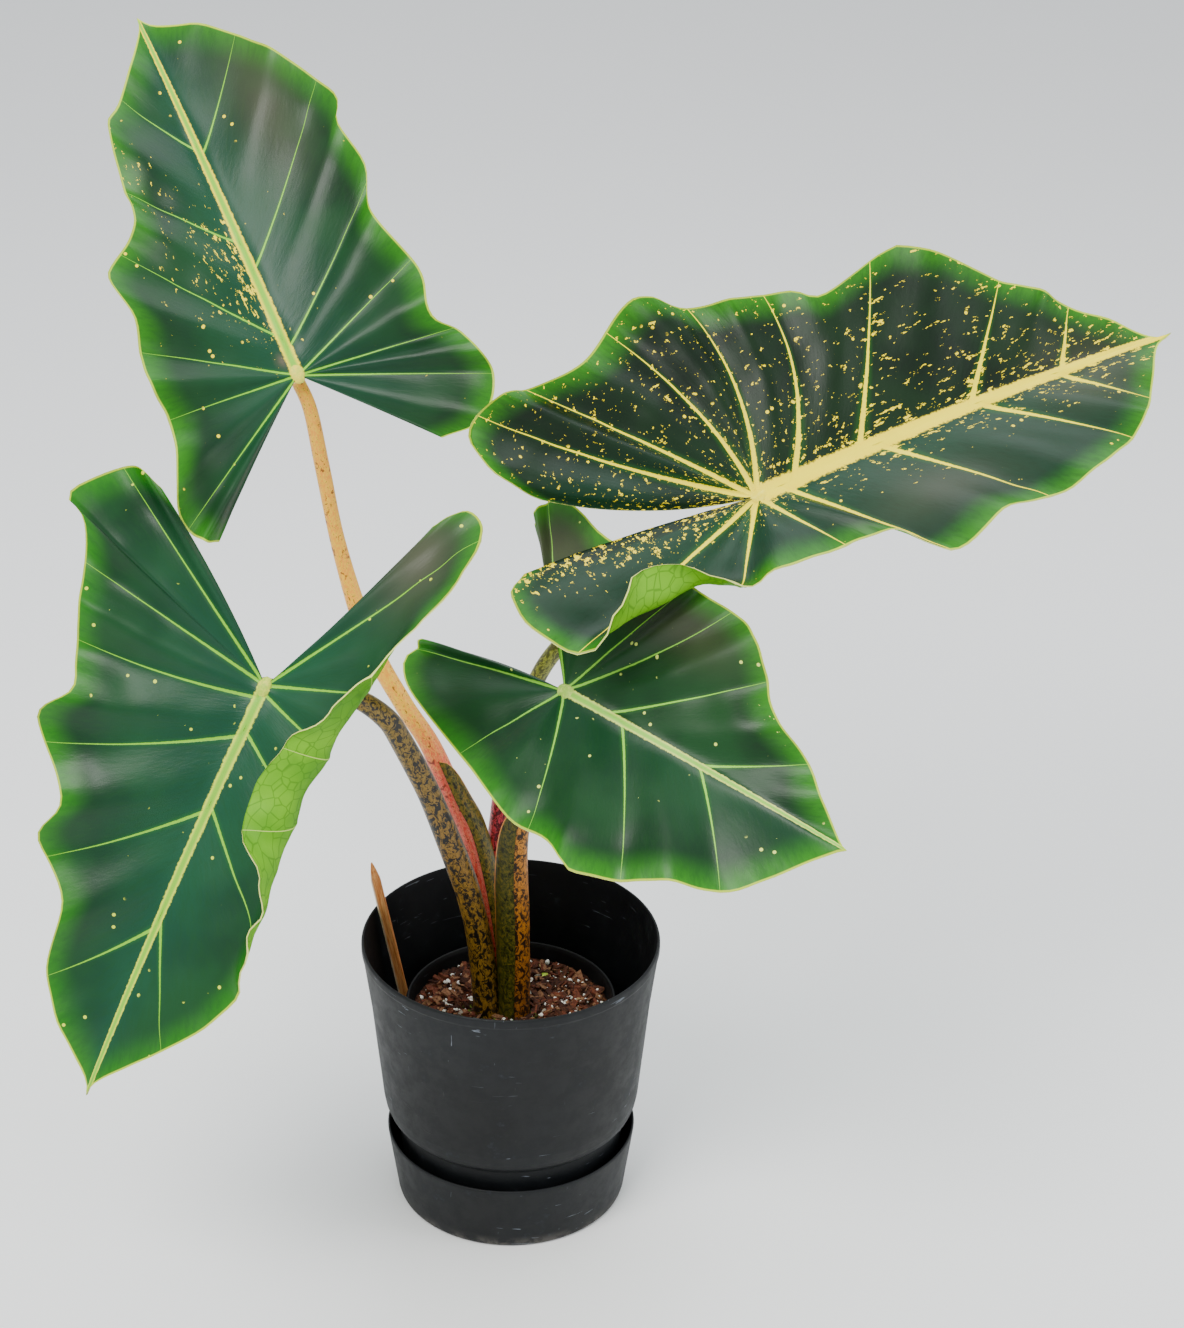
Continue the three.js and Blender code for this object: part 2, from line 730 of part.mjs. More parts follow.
// ---- assembly ----
const plant = new THREE.Group();
plant.name = "potted_alocasia";
plant.add(saucer(), planter(), nurseryPot(), soil(), stick(), leafScrap());
for (const spec of STALKS) plant.add(stalk(spec));
for (const leaf of LEAVES) plant.add(blade(leaf));

const CHIPS = [
  [-48, 8, 0.4, 13], [-36, -38, 1.2, 11], [2, -52, -0.3, 14], [40, -30, 0.8, 12], [55, 6, 1.9, 13], [-22, 52, 0.2, 11],
];
CHIPS.forEach(([x, y, turn, long], k) => plant.add(barkChip(k + 1, x, y, turn, long)));

const GRAINS = [
  [-58, -18, 2.2], [-46, -28, 1.9], [-18, -46, 2.3], [18, -56, 2.0], [32, -48, 2.3], [50, -20, 1.9], [44, 22, 2.1], [-50, 26, 2.2],
];
GRAINS.forEach(([x, y, r], k) => plant.add(perlite(k + 1, x, y, r)));

export default plant;
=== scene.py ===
import math

import bmesh
import bpy
import numpy as np
from mathutils import Matrix, Vector


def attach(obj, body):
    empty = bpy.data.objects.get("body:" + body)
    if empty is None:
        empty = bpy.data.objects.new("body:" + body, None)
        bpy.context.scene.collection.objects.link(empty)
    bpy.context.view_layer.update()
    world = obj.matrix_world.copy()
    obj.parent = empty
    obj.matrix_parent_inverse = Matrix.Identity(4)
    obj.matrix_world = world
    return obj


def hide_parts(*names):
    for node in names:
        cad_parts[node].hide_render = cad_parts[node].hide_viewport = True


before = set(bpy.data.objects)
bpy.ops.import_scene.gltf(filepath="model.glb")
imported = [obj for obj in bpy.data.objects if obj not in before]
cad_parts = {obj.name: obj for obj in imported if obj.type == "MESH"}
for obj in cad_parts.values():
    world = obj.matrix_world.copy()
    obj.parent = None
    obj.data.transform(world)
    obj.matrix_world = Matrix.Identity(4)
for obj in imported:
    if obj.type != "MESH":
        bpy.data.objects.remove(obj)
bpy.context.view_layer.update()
MM = 0.001
rng = np.random.default_rng(7)
scene = bpy.context.scene

# ---- camera: standing eye height, looking down at the plant ----
cam_data = bpy.data.cameras.new("camera")
cam_data.lens = 83.77
cam_data.sensor_width = 36
camera = bpy.data.objects.new("camera", cam_data)
scene.collection.objects.link(camera)
camera.matrix_world = (
    Matrix.Translation((0.0624, -2.091, 1.591))
    @ Matrix.Rotation(math.radians(90 - 27.85), 4, "X")
    @ Matrix.Rotation(math.radians(0.712), 4, "Z")
)
scene.camera = camera


# ---- node material helpers ----
def rgb(text):
    """Linear colour of a #rrggbb text."""
    parts = [int(text[i : i + 2], 16) / 255 for i in (1, 3, 5)]
    return tuple(c / 12.92 if c <= 0.04045 else ((c + 0.055) / 1.055) ** 2.4 for c in parts) + (1,)


class Paint:
    """A node material: each method adds one node and returns its output socket."""

    def __init__(self, name, **fixed):
        self.mat = bpy.data.materials.new(name)
        self.mat.use_nodes = True
        self.tree = self.mat.node_tree
        self.shader = self.tree.nodes["Principled BSDF"]
        for key, value in fixed.items():
            self.shader.inputs[key.replace("_", " ")].default_value = value

    def put(self, socket, value):
        if isinstance(value, bpy.types.NodeSocket):
            self.tree.links.new(value, socket)
        elif value is not None:
            socket.default_value = value

    def set(self, name, value):
        self.put(self.shader.inputs[name], value)

    def attr(self, name):
        node = self.tree.nodes.new("ShaderNodeAttribute")
        node.attribute_name = name
        return node.outputs["Vector"]

    def local(self):
        return self.tree.nodes.new("ShaderNodeTexCoord").outputs["Object"]

    def split(self, vector):
        node = self.tree.nodes.new("ShaderNodeSeparateXYZ")
        self.put(node.inputs[0], vector)
        return node.outputs

    def scaled(self, vector, scale):
        node = self.tree.nodes.new("ShaderNodeVectorMath")
        node.operation = "MULTIPLY"
        self.put(node.inputs[0], vector)
        node.inputs[1].default_value = scale
        return node.outputs[0]

    def math(self, op, a, b=None, clamp=False):
        node = self.tree.nodes.new("ShaderNodeMath")
        node.operation = op
        node.use_clamp = clamp
        self.put(node.inputs[0], a)
        self.put(node.inputs[1], b)
        return node.outputs[0]

    def noise(self, vector, scale, detail=3.0, rough=0.55, distort=0.0):
        node = self.tree.nodes.new("ShaderNodeTexNoise")
        self.put(node.inputs["Vector"], vector)
        node.inputs["Scale"].default_value = scale
        node.inputs["Detail"].default_value = detail
        node.inputs["Roughness"].default_value = rough
        node.inputs["Distortion"].default_value = distort
        return node.outputs["Fac"]

    def cells(self, vector, scale, feature="F1"):
        node = self.tree.nodes.new("ShaderNodeTexVoronoi")
        node.feature = feature
        self.put(node.inputs["Vector"], vector)
        node.inputs["Scale"].default_value = scale
        return node.outputs["Distance"]

    def step(self, value, low, high, a=0.0, b=1.0):
        """Smooth change from a to b as value goes from low to high."""
        node = self.tree.nodes.new("ShaderNodeMapRange")
        node.interpolation_type = "SMOOTHSTEP"
        self.put(node.inputs["Value"], value)
        self.put(node.inputs["From Min"], low)
        self.put(node.inputs["From Max"], high)
        self.put(node.inputs["To Min"], a)
        self.put(node.inputs["To Max"], b)
        return node.outputs["Result"]

    def mix(self, fac, a, b):
        node = self.tree.nodes.new("ShaderNodeMix")
        node.data_type = "RGBA"
        self.put(node.inputs[0], fac)
        self.put(node.inputs[6], a)
        self.put(node.inputs[7], b)
        return node.outputs[2]

    def bump(self, height, strength, distance):
        node = self.tree.nodes.new("ShaderNodeBump")
        node.inputs["Strength"].default_value = strength
        node.inputs["Distance"].default_value = distance
        self.put(node.inputs["Height"], height)
        self.put(self.shader.inputs["Normal"], node.outputs[0])


# ---- mesh helpers ----
def piece(name, points_mm, faces, mats, nodes, face_mat=None, attrs=None, smooth=True):
    """A new object from points in millimetres; attrs are per-point vectors for the materials."""
    mesh = bpy.data.meshes.new(name)
    points = np.asarray(points_mm, float) * MM
    mesh.from_pydata(points.tolist(), [], [tuple(int(i) for i in f) for f in faces])
    for mat in mats:
        mesh.materials.append(mat)
    if face_mat is not None:
        mesh.polygons.foreach_set("material_index", np.asarray(face_mat, np.int32))
    mesh.polygons.foreach_set("use_smooth", np.full(len(faces), smooth))
    for key, data in (attrs or {}).items():
        layer = mesh.attributes.new(key, "FLOAT_VECTOR", "POINT")
        layer.data.foreach_set("vector", np.asarray(data, np.float32).ravel())
    mesh.update()
    obj = bpy.data.objects.new(name, mesh)
    scene.collection.objects.link(obj)
    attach(obj, "root")
    if nodes:
        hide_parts(*nodes)
    return obj


def unit(v):
    v = np.asarray(v, float)
    return v / np.linalg.norm(v, axis=-1, keepdims=True)


def smooth01(t):
    t = np.clip(t, 0, 1)
    return t * t * (3 - 2 * t)


def between(stations, x):
    """Smooth value between stations [(place, value), ...]."""
    st = np.asarray(stations, float)
    k = np.clip(np.searchsorted(st[:, 0], x) - 1, 0, len(st) - 2)
    t = smooth01((x - st[k, 0]) / (st[k + 1, 0] - st[k, 0]))
    return st[k, 1] + (st[k + 1, 1] - st[k, 1]) * t


def spline(points, n=10):
    """Smooth curve through points, n steps for each gap."""
    p = np.asarray(points, float)
    q = np.vstack([2 * p[0] - p[1], p, 2 * p[-1] - p[-2]])
    t = (np.arange(n) / n)[:, None]
    out = []
    for i in range(1, len(q) - 2):
        a, b, c, d = q[i - 1 : i + 3]
        square = 2 * a - 5 * b + 4 * c - d
        cube = 3 * b - a - 3 * c + d
        out.append(0.5 * (2 * b + (c - a) * t + square * t**2 + cube * t**3))
    return np.vstack(out + [p[-1:]])


def along(curve):
    return np.r_[0, np.cumsum(np.linalg.norm(np.diff(curve, axis=0), axis=1))]


def turned(profile, segments):
    """Points and faces of an open profile of (radius, height) pairs turned round Z."""
    prof = np.asarray(profile, float)
    a = np.arange(segments) * 2 * np.pi / segments
    pts = np.stack(
        [
            np.outer(prof[:, 0], np.cos(a)), np.outer(prof[:, 0], np.sin(a)),
            np.outer(prof[:, 1], np.ones(segments))
        ],
        -1
    )
    k, i = np.meshgrid(np.arange(len(prof) - 1), np.arange(segments), indexing="ij")
    j = (i + 1) % segments
    faces = np.stack(
        [k * segments + i, k * segments + j, (k + 1) * segments + j, (k + 1) * segments + i], -1
    )
    return pts.reshape(-1, 3), faces.reshape(-1, 4)


# ---- leaf blades ----
CREASE = 14
STEPS_PER_VEIN = 14
STEPS_TO_MARGIN = 34
HALF_THICK = 0.55
FLAT = ((-200, 0), (300, 0))
WIDE = (40, 130)
LEAVES = {
    "upper_left": dict(
        attach=(-159, 40, 705), along=(
            -0.41, 0.49, 0.77
        ), face=(0.12, -0.8, 0.58), length=315, bend=(-14, -16),
        left=dict(
            wave=5, cup=((-200, 14), (300, 14)), curl=FLAT, roll=WIDE, sinus=(-4, 8),
            veins=(
                (190, 0.16, 0.05), (110, 0.34, 0.03), (30, 0.46, 0.01), (0, 0.64, 0), (0, 0.76, 0),
                (0, 0.94, 0),
            ),
            margin=(
                (315, 0), (300, 5), (250, 40), (225, 60), (150, 70), (115, 105), (75, 100),
                (30, 110), (-5, 105), (-60, 125), (-90, 120), (-95, 105),
            ),
        ),
        right=dict(
            wave=5, cup=((-200, 14), (300, 14)), curl=FLAT, roll=WIDE, sinus=(-8, 8),
            veins=(
                (185, 0.16, 0.03), (85, 0.31, 0.03), (20, 0.5, 0.02), (0, 0.64, 0), (0, 0.77, 0),
                (0, 0.86, 0),
            ),
            margin=(
                (315, 0), (300, 15), (270, 60), (190, 110), (160, 105), (125, 110), (90, 100),
                (35, 115), (0, 110), (-20, 125), (-55, 135), (-85, 115), (-85, 80),
            ),
        ),
    ),
    "right": dict(
        attach=(183, -12, 634), along=(0.89, 0.32, 0.31), face=(
            -0.05, -0.62, 0.78
        ), length=360, bend=(44, -14),
        left=dict(
            wave=6, cup=((-200, 18), (300, 18)), curl=FLAT, roll=WIDE, sinus=(-8, -10),
            veins=(
                (260, 0.12, 0), (180, 0.2, 0), (85, 0.35, -0.02), (30, 0.48, -0.1),
                (0, 0.56, -0.09), (0, 0.67, -0.08), (0, 0.79, -0.04), (0, 0.86, 0),
            ),
            margin=(
                (360, 0), (340, 5), (275, 60), (195, 125), (170, 135), (110, 120), (85, 135),
                (20, 150), (-10, 170), (-35, 170), (-90, 140), (-165, 135), (-200, 110),
                (-190, 80), (-155, 55),
            ),
        ),
        right=dict(
            wave=4, cup=((-200, 10), (0, 16), (300, 10)), roll=(46, 88), sinus=(0, -14),
            curl=(
                (-230, 0), (-195, 10), (-160, 90), (-130, 130), (-95, 125), (-65, 90), (-35, 30),
                (10, 0), (300, 0)
            ),
            veins=(
                (255, 0.1, 0), (185, 0.16, 0), (100, 0.29, 0), (20, 0.42, 0), (0, 0.53, 0),
                (0, 0.66, 0), (0, 0.86, 0),
            ),
            margin=(
                (360, 0), (340, 10), (305, 55), (270, 80), (215, 100), (155, 100), (105, 115),
                (55, 75), (-45, 80), (-115, 100), (-175, 85), (-215, 45), (-210, 10), (-190, -5),
            ),
        ),
    ),
    "lower_left": dict(
        attach=(-173, -130, 534), along=(
            -0.42, -0.39, -0.82
        ), face=(-0.2, -0.84, 0.5), length=335, bend=(-12, -12),
        left=dict(
            wave=0, cup=((-200, 14), (300, 12)), roll=(52, 112), sinus=(-8, 10),
            curl=(
                (-180, 0), (-130, 25), (-90, 50), (-50, 75), (-10, 100), (25, 140), (60, 165),
                (88, 160), (115, 105), (140, 85), (160, 105), (186, 75), (212, 15), (300, 0)
            ),
            veins=(
                (185, 0.13, -0.03), (95, 0.33, -0.03), (35, 0.47, -0.03), (5, 0.58, -0.03),
                (0, 0.7, 0), (0, 0.9, 0),
            ),
            margin=(
                (335, 0), (320, 5), (260, 55), (220, 80), (150, 100), (85, 120), (5, 120),
                (-125, 115), (-165, 105), (-175, 85), (-155, 65),
            ),
        ),
        right=dict(
            wave=6, cup=((-200, 14), (300, 14)), curl=FLAT, roll=WIDE, sinus=(-6, -6),
            veins=(
                (195, 0.17, -0.03), (100, 0.34, -0.03), (40, 0.51, -0.03), (10, 0.67, -0.03),
                (0, 0.77, 0), (0, 0.94, 0),
            ),
            margin=(
                (335, 0), (320, 10), (265, 60), (205, 70), (170, 105), (135, 100), (90, 140),
                (60, 125), (35, 135), (-45, 165), (-60, 185), (-75, 180), (-100, 155), (-95, 130),
            ),
        ),
    ),
    "lower_right": dict(
        attach=(42, -80, 506), along=(
            0.77, -0.63, -0.12
        ), face=(-0.38, -0.6, 0.7), length=250, bend=(-10, -16),
        left=dict(
            wave=5, cup=((-200, 12), (300, 12)), curl=FLAT, roll=WIDE, sinus=(0, 6),
            veins=(
                (125, 0.17, -0.03), (40, 0.34, -0.03), (0, 0.49, -0.05), (0, 0.59, 0),
                (0, 0.95, 0),
            ),
            margin=(
                (250, 0), (240, 5), (195, 40), (150, 65), (120, 100), (85, 110), (-15, 115),
                (-60, 125), (-85, 125), (-90, 100),
            ),
        ),
        right=dict(
            wave=5, cup=((-200, 12), (300, 12)), curl=FLAT, roll=WIDE, sinus=(0, -6),
            veins=(
                (125, 0.2, -0.03), (55, 0.35, -0.03), (0, 0.53, -0.03), (0, 0.72, 0), (0, 0.97, 0),
            ),
            margin=(
                (250, 0), (240, 10), (200, 65), (150, 90), (100, 115), (85, 115), (60, 105),
                (25, 105), (-30, 85), (-105, 60), (-135, 40), (-135, 25), (-125, 15),
            ),
        ),
    ),
}


def leaf_axes(leaf):
    ahead = unit(leaf["along"])
    face = np.asarray(leaf["face"], float)
    face = unit(face - ahead * face.dot(ahead))
    return ahead, np.cross(ahead, face), face


def blade_points(leaf, u, w):
    """Where flat points (u along the midrib, w across, right positive) lie in space."""
    ahead, right, face = leaf_axes(leaf)
    bend = np.radians(np.where(u > 0, leaf["bend"][1], leaf["bend"][0])) / leaf["length"]
    turn = bend * u
    is_left = w < 0

    def pick(read):
        """The value read from the half that each point is on."""
        return np.where(is_left, read(leaf["left"]), read(leaf["right"]))

    cup = np.radians(pick(lambda h: between(h["cup"], u)))
    curl = np.radians(pick(lambda h: between(h["curl"], u)))
    r0 = pick(lambda h: h["roll"][0])
    r1 = pick(lambda h: h["roll"][1])
    reach = np.abs(w)
    out = np.zeros_like(reach)
    up = np.zeros_like(reach)
    steps = 24
    for k in range(steps):
        t = (k + 0.5) / steps * reach
        angle = cup * smooth01(t / CREASE) + curl * smooth01((t - r0) / (r1 - r0))
        out += np.cos(angle) * reach / steps
        up += np.sin(angle) * reach / steps
    ahead_by = np.sin(turn) / bend - np.sin(turn) * up
    face_by = (1 - np.cos(turn)) / bend + np.cos(turn) * up
    side_by = np.where(is_left, -out, out)
    return (
        np.asarray(leaf["attach"], float)
        + np.outer(ahead_by, ahead)
        + np.outer(face_by, face)
        + np.outer(side_by, right)
    )


def blade_normals(leaf, u, w):
    e = 0.5
    s = np.where(w < 0, -1.0, 1.0)
    v = np.maximum(np.abs(w), e) * s
    du = blade_points(leaf, u + e, w) - blade_points(leaf, u - e, w)
    dv = blade_points(leaf, u, v + s * 0.4) - blade_points(leaf, u, v - s * 0.4)
    return unit(np.cross(dv, du) * s[:, None])


def half_blade(leaf, name, per_vein, rows):
    """Grid over one half: places q (0 at the tip) by m (0 at the midrib, 1 at the margin)."""
    half = leaf[name]
    side = -1 if name == "left" else 1
    veins = np.array([(leaf["length"], 0, 0)] + list(half["veins"]) + [(0, 1, 0)], float)
    last = len(veins) - 1
    curve = spline(half["margin"])
    share = along(curve) / along(curve)[-1]
    q1 = np.linspace(0, last, last * per_vein + 1)
    m1 = 1 - (1 - np.linspace(0, 1, rows + 1)) ** 1.25
    q, m = np.meshgrid(q1, m1, indexing="ij")
    k = np.arange(last + 1)
    foot = np.interp(q, k, veins[:, 0])
    f = np.interp(q, k, veins[:, 1])
    mu = np.interp(f, share, curve[:, 0])
    mv = np.interp(f, share, curve[:, 1])
    span = np.hypot(mu - foot, mv)
    notch = smooth01(q - (last - 1))
    cu = foot + (mu - foot) * 0.5 - 2 * np.interp(q, k, veins[:, 2]) * span + notch * half["sinus"][0]
    cv = mv * 0.5 + notch * half["sinus"][1]
    u = (1 - m) ** 2 * foot + 2 * m * (1 - m) * cu + m**2 * mu
    v = 2 * m * (1 - m) * cv + m**2 * mv
    # distance in mm to the nearest side vein, from the flat spacing of the vein lines
    nu = np.take_along_axis(u, (np.round(q) * per_vein).astype(int), 0)
    nv = np.take_along_axis(v, (np.round(q) * per_vein).astype(int), 0)
    du = np.gradient(u, axis=1)
    dv = np.gradient(v, axis=1)
    run = np.hypot(du, dv) + 1e-6
    gap = np.abs((u - nu) * dv - (v - nv) * du) / run
    gap = np.where(np.round(q) == 0, 99.0, gap)
    gap = np.where((np.round(q) == last), 99.0, gap)
    return dict(q=q, m=m, u=u, w=side * v, span=span, gap=gap, side=side, half=half)


def blade(key, leaf, look):
    points = []
    data = {"veining": [], "flatmap": [], "streaks": [], "tones": []}
    grids = []
    count = 0
    for name in ("left", "right"):
        g = half_blade(leaf, name, STEPS_PER_VEIN, STEPS_TO_MARGIN)
        q, m, u, w = (g[x] for x in ("q", "m", "u", "w"))
        fu, fw = u.ravel(), np.where(np.abs(w) < 1e-6, 1e-6 * g["side"], w).ravel()
        base = blade_points(leaf, fu, fw)
        normal = blade_normals(leaf, fu, fw)
        qf, mf = q.ravel(), m.ravel()
        rise = -g["half"]["wave"] * mf**2 * np.cos(2 * np.pi * qf) * np.clip(qf, 0, 1)
        quilt = np.sin(np.pi * (qf % 1.0)) ** 2 * mf * (1 - mf) * 4
        rise += look["quilt"] * quilt * np.clip(qf, 0, 1)
        rise += 0.9 * mf**6 * np.sin(2 * np.pi * 2.6 * qf + 3 * g["side"])
        rise += 0.8 * mf * np.sin(fu * 0.11 + 2.1 * np.sin(fw * 0.07))
        to_tip = 1 - np.clip(fu / leaf["length"], 0, 1)
        rib_half = look["rib"] * (0.28 + 0.72 * to_tip**0.8)
        rib_half = np.where(fu < 0, look["rib"] * 0.2, rib_half)
        rise += 1.0 * np.exp(-((fw / (rib_half + 0.6)) ** 2)) * (fu > -2)
        vein_half = look["vein"] * (0.12 + 0.88 * (1 - mf) ** 1.4)
        gap = g["gap"].ravel()
        rise -= 0.5 * np.exp(-((gap / 2.2) ** 2)) * (1 - mf)
        edge = (1 - mf) * g["span"].ravel()
        pos = base + normal * rise[:, None]
        points.append(pos)
        from_rib = np.abs(fw) / rib_half + np.maximum(0, -fu) * 0.6
        data["veining"].append(np.stack([gap / vein_half, from_rib, edge], -1))
        data["flatmap"].append(np.stack([fu, fw, 0 * fu], -1))
        data["streaks"].append(np.stack([qf * 26 + g["side"] * 300, mf * g["span"].ravel(), qf], -1))
        data["tones"].append(look["tones"](fu, fw, qf, mf))
        grids.append((np.arange(q.size).reshape(q.shape) + count, normal))
        count += q.size
    pts = np.vstack(points)
    normals = np.vstack([n for _, n in grids])
    top = pts + normals * HALF_THICK
    low = pts - normals * HALF_THICK
    # the ribs stand out below as well
    veining = np.vstack(data["veining"])
    under = 1.9 * np.exp(-(veining[:, 1] ** 2) * 0.7) + 0.7 * np.exp(-((veining[:, 0] * 0.8) ** 2))
    low = low - normals * under[:, None]
    n = len(pts)
    faces = []
    mats = []
    for (ids, _), side in zip(grids, (-1, 1)):
        a, b, c, d = ids[:-1, :-1], ids[1:, :-1], ids[1:, 1:], ids[:-1, 1:]
        quads = np.stack([a, b, c, d], -1).reshape(-1, 4)
        if side > 0:
            quads = quads[:, ::-1]
        faces += [quads, quads[:, ::-1] + n]
        mats += [np.zeros(len(quads)), np.ones(len(quads))]
        rim = np.r_[ids[:, -1], ids[-1, ::-1][1:]]
        edge = np.stack([rim[:-1], rim[1:], rim[1:] + n, rim[:-1] + n], -1)
        if side < 0:
            edge = edge[:, ::-1]
        faces.append(edge)
        mats.append(np.full(len(edge), 2))
    faces = np.vstack(faces)
    keep = np.array([len(set(f)) > 2 for f in faces])
    attrs = {k: np.vstack([np.vstack(v)] * 2) for k, v in data.items()}
    obj = piece(
        "blade_" + key, np.vstack([top, low]), faces[keep], look["mats"],
        ["leaf_" + key + "_blade"], np.concatenate(mats)[keep], attrs,
    )
    weld(obj)


def weld(obj):
    """Joins the coincident points along the midrib, at the tip and at the stalk."""
    mod = obj.modifiers.new("weld", "WELD")
    mod.merge_threshold = 0.00002


def leaf_upper(name, colours, gloss):
    """Upper side; colours: deep, middle and fresh green, rib, fleck, and a bluish green that is painted sheen
    (a painted reflection).
    """
    deep, mid, fresh, vein, fleck, painted_sheen = (rgb(c) for c in colours)
    p = Paint(name, IOR=1.45, Specular_IOR_Level=0.26, Coat_Weight=0.03, Coat_Roughness=0.35)
    vx = p.split(p.attr("veining"))
    tones = p.split(p.attr("tones"))
    flat = p.attr("flatmap")
    streak = p.attr("streaks")
    broad = p.noise(flat, 0.012, 3, 0.5)
    fine = p.noise(p.scaled(streak, (0.9, 0.10, 0.3)), 1.0, 4, 0.6)
    fresh_mask = p.math(
        "MULTIPLY", p.step(p.math("ADD", vx[2], p.math("MULTIPLY", broad, 22)), 6, 38, 1, 0), 0.85
    )
    colour = p.mix(p.step(broad, 0.36, 0.64), deep, mid)
    # painted sheen: a bluish reflection mixed into the colour by the second share of the tones
    colour = p.mix(tones[1], colour, painted_sheen)
    colour = p.mix(fresh_mask, colour, fresh)
    colour = p.mix(p.math("MULTIPLY", p.step(fine, 0.4, 0.7), 0.3), colour, mid)
    colour = p.mix(p.step(vx[0], 1.0, 4.0, 0.16, 0), colour, fresh)
    colour = p.mix(tones[2], colour, rgb("#5d5546"))
    ragged = p.noise(flat, 0.35, 3, 0.65)
    lump = p.noise(p.scaled(streak, (0.42, 0.22, 0.2)), 1.0, 3, 0.7)
    cut = p.math("SUBTRACT", 0.78, p.math("MULTIPLY", tones[0], 0.26))
    flecks = p.step(p.math("SUBTRACT", lump, cut), 0.0, 0.018)
    dots = p.step(p.cells(flat, 0.085), 0.10, 0.13, 1, 0)
    pick = p.step(p.noise(flat, 0.045, 1, 0.5), 0.56, 0.6)
    dots = p.math("MULTIPLY", dots, pick)
    colour = p.mix(p.math("MAXIMUM", flecks, dots), colour, fleck)
    wobble = p.math("MULTIPLY", p.math("SUBTRACT", ragged, 0.5), 0.9)
    side = p.step(p.math("ADD", vx[0], wobble), 0.7, 1.15, 1, 0)
    rib = p.step(p.math("ADD", vx[1], wobble), 0.75, 1.1, 1, 0)
    colour = p.mix(side, colour, vein)
    colour = p.mix(rib, colour, p.mix(p.step(vx[1], 0.2, 0.9), vein, fleck))
    colour = p.mix(p.step(vx[2], 0.9, 2.0, 0.9, 0), colour, rgb("#c2d62c"))
    p.set("Base Color", colour)
    p.set("Roughness", p.step(broad, 0.3, 0.7, gloss, gloss + 0.1))
    height = p.math("ADD", p.math("MULTIPLY", fine, 0.6), p.math("MULTIPLY", side, 0.8))
    p.bump(height, 0.35, 0.0008)
    return p.mat


def leaf_under(name):
    p = Paint(name, IOR=1.4, Specular_IOR_Level=0.3, Coat_Weight=0.0)
    vx = p.split(p.attr("veining"))
    flat = p.attr("flatmap")
    streak = p.attr("streaks")
    broad = p.noise(flat, 0.02, 3, 0.5)
    net = p.cells(p.scaled(streak, (0.24, 0.12, 0.1)), 1.0, "DISTANCE_TO_EDGE")
    colour = p.mix(p.step(broad, 0.35, 0.65), rgb("#4b8a00"), rgb("#6aa80a"))
    colour = p.mix(p.step(net, 0.0, 0.07, 0.55, 0), colour, rgb("#2c6400"))
    colour = p.mix(p.step(vx[0], 0.8, 1.3, 1, 0), colour, rgb("#b4cc5e"))
    colour = p.mix(p.step(vx[1], 0.9, 1.3, 1, 0), colour, rgb("#c3d27a"))
    p.set("Base Color", colour)
    p.set("Roughness", p.step(broad, 0.3, 0.7, 0.48, 0.6))
    p.bump(net, 0.4, 0.0006)
    return p.mat


def leaf_rim(name):
    p = Paint(name)
    flat = p.attr("flatmap")
    p.set("Base Color", p.mix(p.noise(flat, 0.08), rgb("#c6cf5a"), rgb("#d9dc86")))
    p.set("Roughness", p.step(p.noise(flat, 0.1), 0.3, 0.7, 0.4, 0.55))
    return p.mat


def tones(flecks, painted_sheen, brown):
    """Per-point shares of flecking, painted bluish sheen (a painted reflection) and brown tone from functions
    of (u, w, q, m).
    """
    return lambda u, w, q, m: np.stack(
        [np.clip(f(u, w, q, m), 0, 1) + 0 * u for f in (flecks, painted_sheen, brown)], -1
    )


def near(x, spread):
    """1 at x = 0, fading on both sides."""
    return np.exp(-np.abs(x) / spread)


def bell(x, centre, spread):
    """1 at the centre, fading on both sides like a bell."""
    return np.exp(-(((x - centre) / spread) ** 2))


